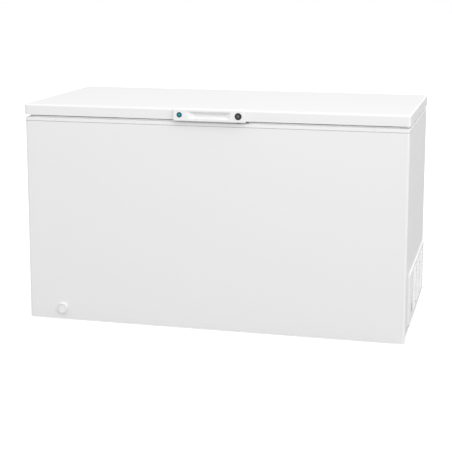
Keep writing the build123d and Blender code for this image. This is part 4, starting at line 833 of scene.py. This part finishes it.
def new_object(name: str, mesh: bmesh.types.BMesh, finish: Finish) -> bpy.types.Object:
    """Turn a finished mesh into an object of the scene.

    Args:
        name: The object's name.
        mesh: Its mesh, in metres in the CAD frame.
        finish: Its finish.

    Returns:
        The new object.
    """
    data = bpy.data.meshes.new(name)
    mesh.to_mesh(data)
    mesh.free()
    made = bpy.data.objects.new(name, data)
    bpy.context.scene.collection.objects.link(made)
    clothe(made, finish)
    return made


def new_piece(
    name: str, mesh: bmesh.types.BMesh, finish: Finish, body: Body
) -> bpy.types.Object:
    """Turn a finished mesh into a piece that rides on a body.

    Args:
        name: The piece's name.
        mesh: Its mesh, in metres in the CAD frame.
        finish: Its finish.
        body: The body that carries it.

    Returns:
        The new object.
    """
    bmesh.ops.recalc_face_normals(mesh, faces=mesh.faces)
    piece = new_object(name, mesh, finish)
    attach(piece, body.value)
    log.info("piece %s on %s", name, body.value)
    return piece


def prism(mesh: bmesh.types.BMesh, outline: list[Vector], rise: Vector) -> None:
    """Add a closed prism to a mesh.

    Args:
        mesh: The mesh to add to.
        outline: Corners of the base, in order.
        rise: From the base to the top.
    """
    base = [mesh.verts.new(point) for point in outline]
    top = [mesh.verts.new(point + rise) for point in outline]
    mesh.faces.new(base)
    mesh.faces.new(top)
    for first in range(len(outline)):
        second = (first + 1) % len(outline)
        mesh.faces.new((base[first], base[second], top[second], top[first]))


@dataclass
class ScrewDrives:
    """Cross recesses in the heads of one group of screws, drawn as thin near-black crosses laid on the
    heads: painted shade standing in for the hollow of each recess.

    The second bar of a cross stands a little prouder than the first, so that their tops do not coincide.
    """

    node: str
    body: Body
    outward: Vector
    span: float = 4.2 * MM
    arm: float = 1.0 * MM
    proud: float = 0.05 * MM
    second_lift: float = 1.0 + 0.05 * math.pi
    first_turn: float = 0.4
    turn_step: float = 0.9

    def build(self) -> None:
        """Lay a near-black cross, the painted shade of the recess, on every head of the group."""
        across = UPWARD.cross(self.outward)
        mesh = bmesh.new()
        for number, (low, high) in enumerate(solid_boxes(self.node)):
            centre = (low + high) / 2
            top = max(low, high, key=self.outward.dot)
            centre += self.outward * (top - centre).dot(self.outward)
            turn = self.first_turn + self.turn_step * number
            for angle, lift in ((turn, 1.0), (turn + math.pi / 2, self.second_lift)):
                along = across * math.cos(angle) + UPWARD * math.sin(angle)
                wide = self.outward.cross(along)
                corners = [
                    centre + along * (x * self.span / 2) + wide * (y * self.arm / 2)
                    for x, y in ((-1, -1), (1, -1), (1, 1), (-1, 1))
                ]
                prism(mesh, corners, self.outward * self.proud * lift)
        # The crosses are painted shade: dark sheets where only the recess's own shadow would be.
        new_piece(f"{self.node}_drive", mesh, PAINTED_RECESS_SHADE, self.body)


@dataclass
class DialScale:
    """Ticks and numbers printed round the temperature dial."""

    numbers: int = 7
    sweep: float = 270.0
    steps_per_number: int = 4
    tick_inner: float = 24.6 * MM
    tick_length: float = 2.2 * MM
    long_tick: float = 3.74 * MM
    tick_width: float = 0.7 * MM
    number_radius: float = 31.0 * MM
    number_size: float = 6.2 * MM
    print_depth: float = 0.06 * MM

    def place(self, share: float, radius: float) -> Vector:
        """Give a point round the dial.

        Args:
            share: Share of the scale, from 0 at its start to 1 at its end.
            radius: Distance from the dial's axis.

        Returns:
            The point on the grille's face.
        """
        low, high = node_box("control_dial")
        face = node_box("side_grille")[1].x
        middle = (low + high) / 2
        angle = math.radians(self.sweep * (share - 0.5))
        return Vector((face, middle.y + radius * math.sin(angle), middle.z + radius * math.cos(angle)))

    def build(self) -> None:
        """Print the ticks, then the numbers."""
        mesh = bmesh.new()
        steps = (self.numbers - 1) * self.steps_per_number
        for step in range(steps + 1):
            length = self.tick_length if step % self.steps_per_number else self.long_tick
            start = self.place(step / steps, self.tick_inner)
            end = self.place(step / steps, self.tick_inner + length)
            wide = (end - start).normalized().cross(RIGHTWARD) * self.tick_width / 2
            prism(mesh, [start - wide, end - wide, end + wide, start + wide], RIGHTWARD * self.print_depth)
        new_piece("dial_ticks", mesh, MARK_INK, Body.CABINET)
        for number in range(self.numbers):
            self.print_number(str(number + 1), self.place(number / (self.numbers - 1), self.number_radius))

    def print_number(self, text: str, place: Vector) -> None:
        """Print one number, upright.

        Args:
            text: The number.
            place: Its middle on the grille's face.
        """
        curve = bpy.data.curves.new(f"dial_number_{text}_curve", "FONT")
        curve.body = text
        curve.size = self.number_size
        curve.extrude = self.print_depth / 2
        curve.align_x = "CENTER"
        curve.align_y = "CENTER"
        drawn = bpy.data.objects.new(curve.name, curve)
        bpy.context.scene.collection.objects.link(drawn)
        bpy.context.view_layer.update()
        data = bpy.data.meshes.new_from_object(drawn.evaluated_get(bpy.context.evaluated_depsgraph_get()))
        bpy.data.objects.remove(drawn)
        upright = Matrix((
            (0, 0, 1, place.x + self.print_depth / 2),
            (1, 0, 0, place.y),
            (0, 1, 0, place.z),
            (0, 0, 0, 1),
        ))
        mesh = bmesh.new()
        mesh.from_mesh(data)
        bpy.data.meshes.remove(data)
        bmesh.ops.transform(mesh, matrix=upright, verts=mesh.verts)
        new_piece(f"dial_number_{text}", mesh, MARK_INK, Body.CABINET)


@dataclass
class LidSeal:
    """Magnetic seal of the lid: folded bellows, and a lip that is notched for the lock's arm.

    A section's points give the distance inside the bellows' outer face and the height above the seal's
    bottom, in millimetres.
    """

    lip: float = 11.0 * MM
    corner: float = 28.0 * MM
    least_corner: float = 2.0 * MM
    corner_steps: int = 8
    notch_gap: float = 0.5 * MM
    front_band: float = 0.1 * MM
    bellows: Section = (
        (0.0, 0.2), (15.6, 0.0), (16.0, 0.5), (16.0, 4.4), (15.0, 5.2), (10.6, 5.5), (12.2, 6.6),
        (10.8, 7.8), (12.3, 9.0), (12.4, 10.3), (9.5, 10.3), (9.5, 15.1), (6.5, 15.1), (6.5, 10.3),
        (3.6, 10.3), (3.7, 9.0), (5.2, 7.8), (3.8, 6.6), (5.4, 5.5), (1.0, 5.2), (0.0, 4.4),
    )
    lip_section: Section = (
        (-10.6, 0.0), (-0.1, 0.2), (-0.1, 4.4), (-3.0, 5.4), (-9.6, 6.3), (-10.7, 5.8), (-11.0, 4.8),
        (-11.0, 0.5),
    )

    def ring(self, low: Vector, high: Vector, inset: float, height: float) -> list[Vector]:
        """Give the points of a rectangle with rounded corners.

        Args:
            low: Lowest corner of the box.
            high: Highest corner of the box.
            inset: Distance inside the box, in metres.
            height: Height above the box's bottom, in metres.

        Returns:
            The points, in order, from the right end of the front.
        """
        radius = max(self.corner - inset, self.least_corner)
        right = high.x - inset - radius
        left = low.x + inset + radius
        back = high.y - inset - radius
        front = low.y + inset + radius
        points = []
        for quarter, (x, y) in enumerate(((right, front), (right, back), (left, back), (left, front))):
            for step in range(self.corner_steps + 1):
                angle = math.pi / 2 * (quarter - 1 + step / self.corner_steps)
                across = x + radius * math.cos(angle)
                along = y + radius * math.sin(angle)
                points.append(Vector((across, along, low.z + height)))
        return points

    def sweep(self, name: str, section: Section, notch: tuple[float, float] | None) -> None:
        """Sweep a section round the lid, in place of the plain gasket.

        Args:
            name: The piece's name.
            section: The section's points.
            notch: Left and right end of a gap in the front, or none for a closed ring.
        """
        low, high = node_box("lid_gasket")
        low += Vector((self.lip, self.lip, 0.0))
        high -= Vector((self.lip, self.lip, 0.0))
        mesh = bmesh.new()
        strings = []
        for inward, height in section:
            points = self.ring(low, high, inward * MM, height * MM)
            if notch:
                first, last = points[0].copy(), points[-1].copy()
                first.x, last.x = notch[1], notch[0]
                points = [first, *points, last]
            strings.append([mesh.verts.new(point) for point in points])
        count = len(strings[0])
        for here, there in zip(strings, strings[1:] + strings[:1]):
            for start in range(count - 1 if notch else count):
                end = (start + 1) % count
                mesh.faces.new((here[start], here[end], there[end], there[start]))
        if notch:
            for end in (0, -1):
                mesh.faces.new([string[end] for string in strings])
        piece = new_piece(name, mesh, SEAL_RUBBER, Body.LID)
        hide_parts("lid_gasket")

    def build(self) -> None:
        """Sweep the bellows and the lip."""
        self.sweep("lid_seal", self.bellows, None)
        self.sweep("lid_seal_lip", self.lip_section, self.lock_notch())

    def lock_notch(self) -> tuple[float, float]:
        """Find the gap in the gasket's lip where the lock's arm comes down.

        Returns:
            Left and right end of the gap.
        """
        low, high = node_box("lid_gasket")
        places = [vert.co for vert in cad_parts["lid_gasket"].data.vertices]
        ends = [p.x for p in places if p.y < low.y + self.front_band and abs(p.x) < high.x / 2]
        return min(ends) - self.notch_gap, max(ends) + self.notch_gap


@dataclass
class PilotLight:
    """Lit lens of the pilot light in the handle."""

    colour: Colour = (0.008, 0.13, 0.16)
    roughness: float = 0.15
    coat: float = 0.15
    glow: Colour = (0.05, 0.46, 0.58)
    strength: float = 0.42

    def dress(self) -> None:
        """Light the lens from its own middle."""
        low, high = node_box("light_lens")
        lens = GlowingLens(
            "pilot_lens",
            self.colour,
            self.roughness,
            coat=self.coat,
            glow=self.glow,
            strength=self.strength,
            centre=tuple((low + high) / 2),
        )
        clothe(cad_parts["light_lens"], lens)


@dataclass
class Studio:
    """Pale floor, soft surrounding light and one large panel in front and above."""

    floor_size: float = 60.0
    floor_squares: int = 8
    floor_glow: float = 0.75
    backdrop: float = 1.0
    sky_left: float = 0.82
    sky_right: float = 1.48
    sky_right_from: float = 0.9
    front_lift: float = 0.53
    key_power: float = 10.0
    key_size: float = 2.4
    key_place: Vector = Vector((0.7, -1.7, 2.3))
    key_aim: Vector = Vector((0.3, -0.3, 0.7))

    def build(self) -> None:
        """Lay the floor, light the room and hang the panel."""
        self.lay_floor()
        self.light_room()
        self.hang_panel()

    def lay_floor(self) -> None:
        """Lay a pale floor that the camera sees as white."""
        mesh = bmesh.new()
        squares = self.floor_squares
        bmesh.ops.create_grid(mesh, x_segments=squares, y_segments=squares, size=self.floor_size / 2)
        floor = new_object("studio_floor", mesh, PALE_FLOOR)
        graph = Graph(PALE_FLOOR.material().node_tree)
        shader = graph.tree.nodes["Principled BSDF"]
        graph.feed(shader.inputs["Emission Color"], WHITE)
        seen = graph.node("ShaderNodeLightPath").outputs["Is Camera Ray"]
        graph.join(graph.math("MULTIPLY", seen, self.floor_glow), shader.inputs["Emission Strength"])

    def light_room(self) -> None:
        """Surround the scene with white that gives more light from the right and from the front."""
        world = bpy.data.worlds.new("studio_room")
        world.use_nodes = True
        bpy.context.scene.world = world
        graph = Graph(world.node_tree)
        backing = world.node_tree.nodes["Background"]
        graph.feed(backing.inputs["Color"], WHITE)
        way = graph.node("ShaderNodeSeparateXYZ")
        graph.join(graph.node("ShaderNodeTexCoord").outputs["Generated"], way.inputs[0])
        sides = graph.remap(way.outputs["X"], 0.0, self.sky_right_from, self.sky_left, self.sky_right)
        front = graph.math("MAXIMUM", graph.math("MULTIPLY", way.outputs["Y"], -self.front_lift), 0.0)
        level = graph.math("MULTIPLY", sides, graph.math("ADD", front, 1.0))
        seen = graph.node("ShaderNodeLightPath").outputs["Is Camera Ray"]
        lift = graph.math("SUBTRACT", self.backdrop, level)
        graph.join(graph.math("ADD", level, graph.math("MULTIPLY", seen, lift)), backing.inputs["Strength"])

    def hang_panel(self) -> None:
        """Hang the round light panel."""
        lamp = bpy.data.lights.new("overhead_panel", "AREA")
        lamp.shape = "DISK"
        lamp.size = self.key_size
        lamp.energy = self.key_power
        panel = bpy.data.objects.new("overhead_panel", lamp)
        panel.location = self.key_place
        panel.rotation_mode = "QUATERNION"
        panel.rotation_quaternion = (self.key_aim - self.key_place).to_track_quat("-Z", "Y")
        bpy.context.scene.collection.objects.link(panel)


@dataclass
class PhotoCamera:
    """Camera fitted to the corners of the cabinet in the photograph."""

    place: Vector = Vector((1.1822, -4.8083, 1.4422))
    yaw: float = 14.116
    pitch: float = 9.867
    focal_pixels: float = 1196.9
    frame_pixels: float = 452.0
    shift_y: float = -0.12
    sensor: float = 36.0

    def build(self) -> None:
        """Set up the camera and make it the scene's own."""
        data = bpy.data.cameras.new("photo_camera")
        data.sensor_width = self.sensor
        data.lens = self.focal_pixels / self.frame_pixels * self.sensor
        data.shift_y = self.shift_y
        camera = bpy.data.objects.new("photo_camera", data)
        camera.location = self.place
        camera.rotation_euler = (math.radians(90.0 - self.pitch), 0.0, math.radians(self.yaw))
        bpy.context.scene.collection.objects.link(camera)
        bpy.context.scene.camera = camera


def dress_nodes() -> None:
    """Give the CAD nodes their finishes, apart from the pilot light's lens."""
    for finish, nodes in NODE_FINISHES.items():
        for node in nodes:
            clothe(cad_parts[node], finish)


def main() -> None:
    """Build the freezer's looks, its studio and its camera."""
    logging.basicConfig(level=logging.INFO, format="%(message)s")
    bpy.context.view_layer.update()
    PhotoCamera().build()
    Studio().build()
    dress_nodes()
    PilotLight().dress()
    LidSeal().build()
    DialScale().build()
    ScrewDrives("hinge_base_screws", Body.CABINET, BACKWARD).build()
    ScrewDrives("hinge_leaf_screws", Body.LID, BACKWARD).build()
    ScrewDrives("grille_screws", Body.CABINET, RIGHTWARD).build()
    bpy.context.scene.view_settings.view_transform = "Standard"


if __name__ == "__main__":
    main()
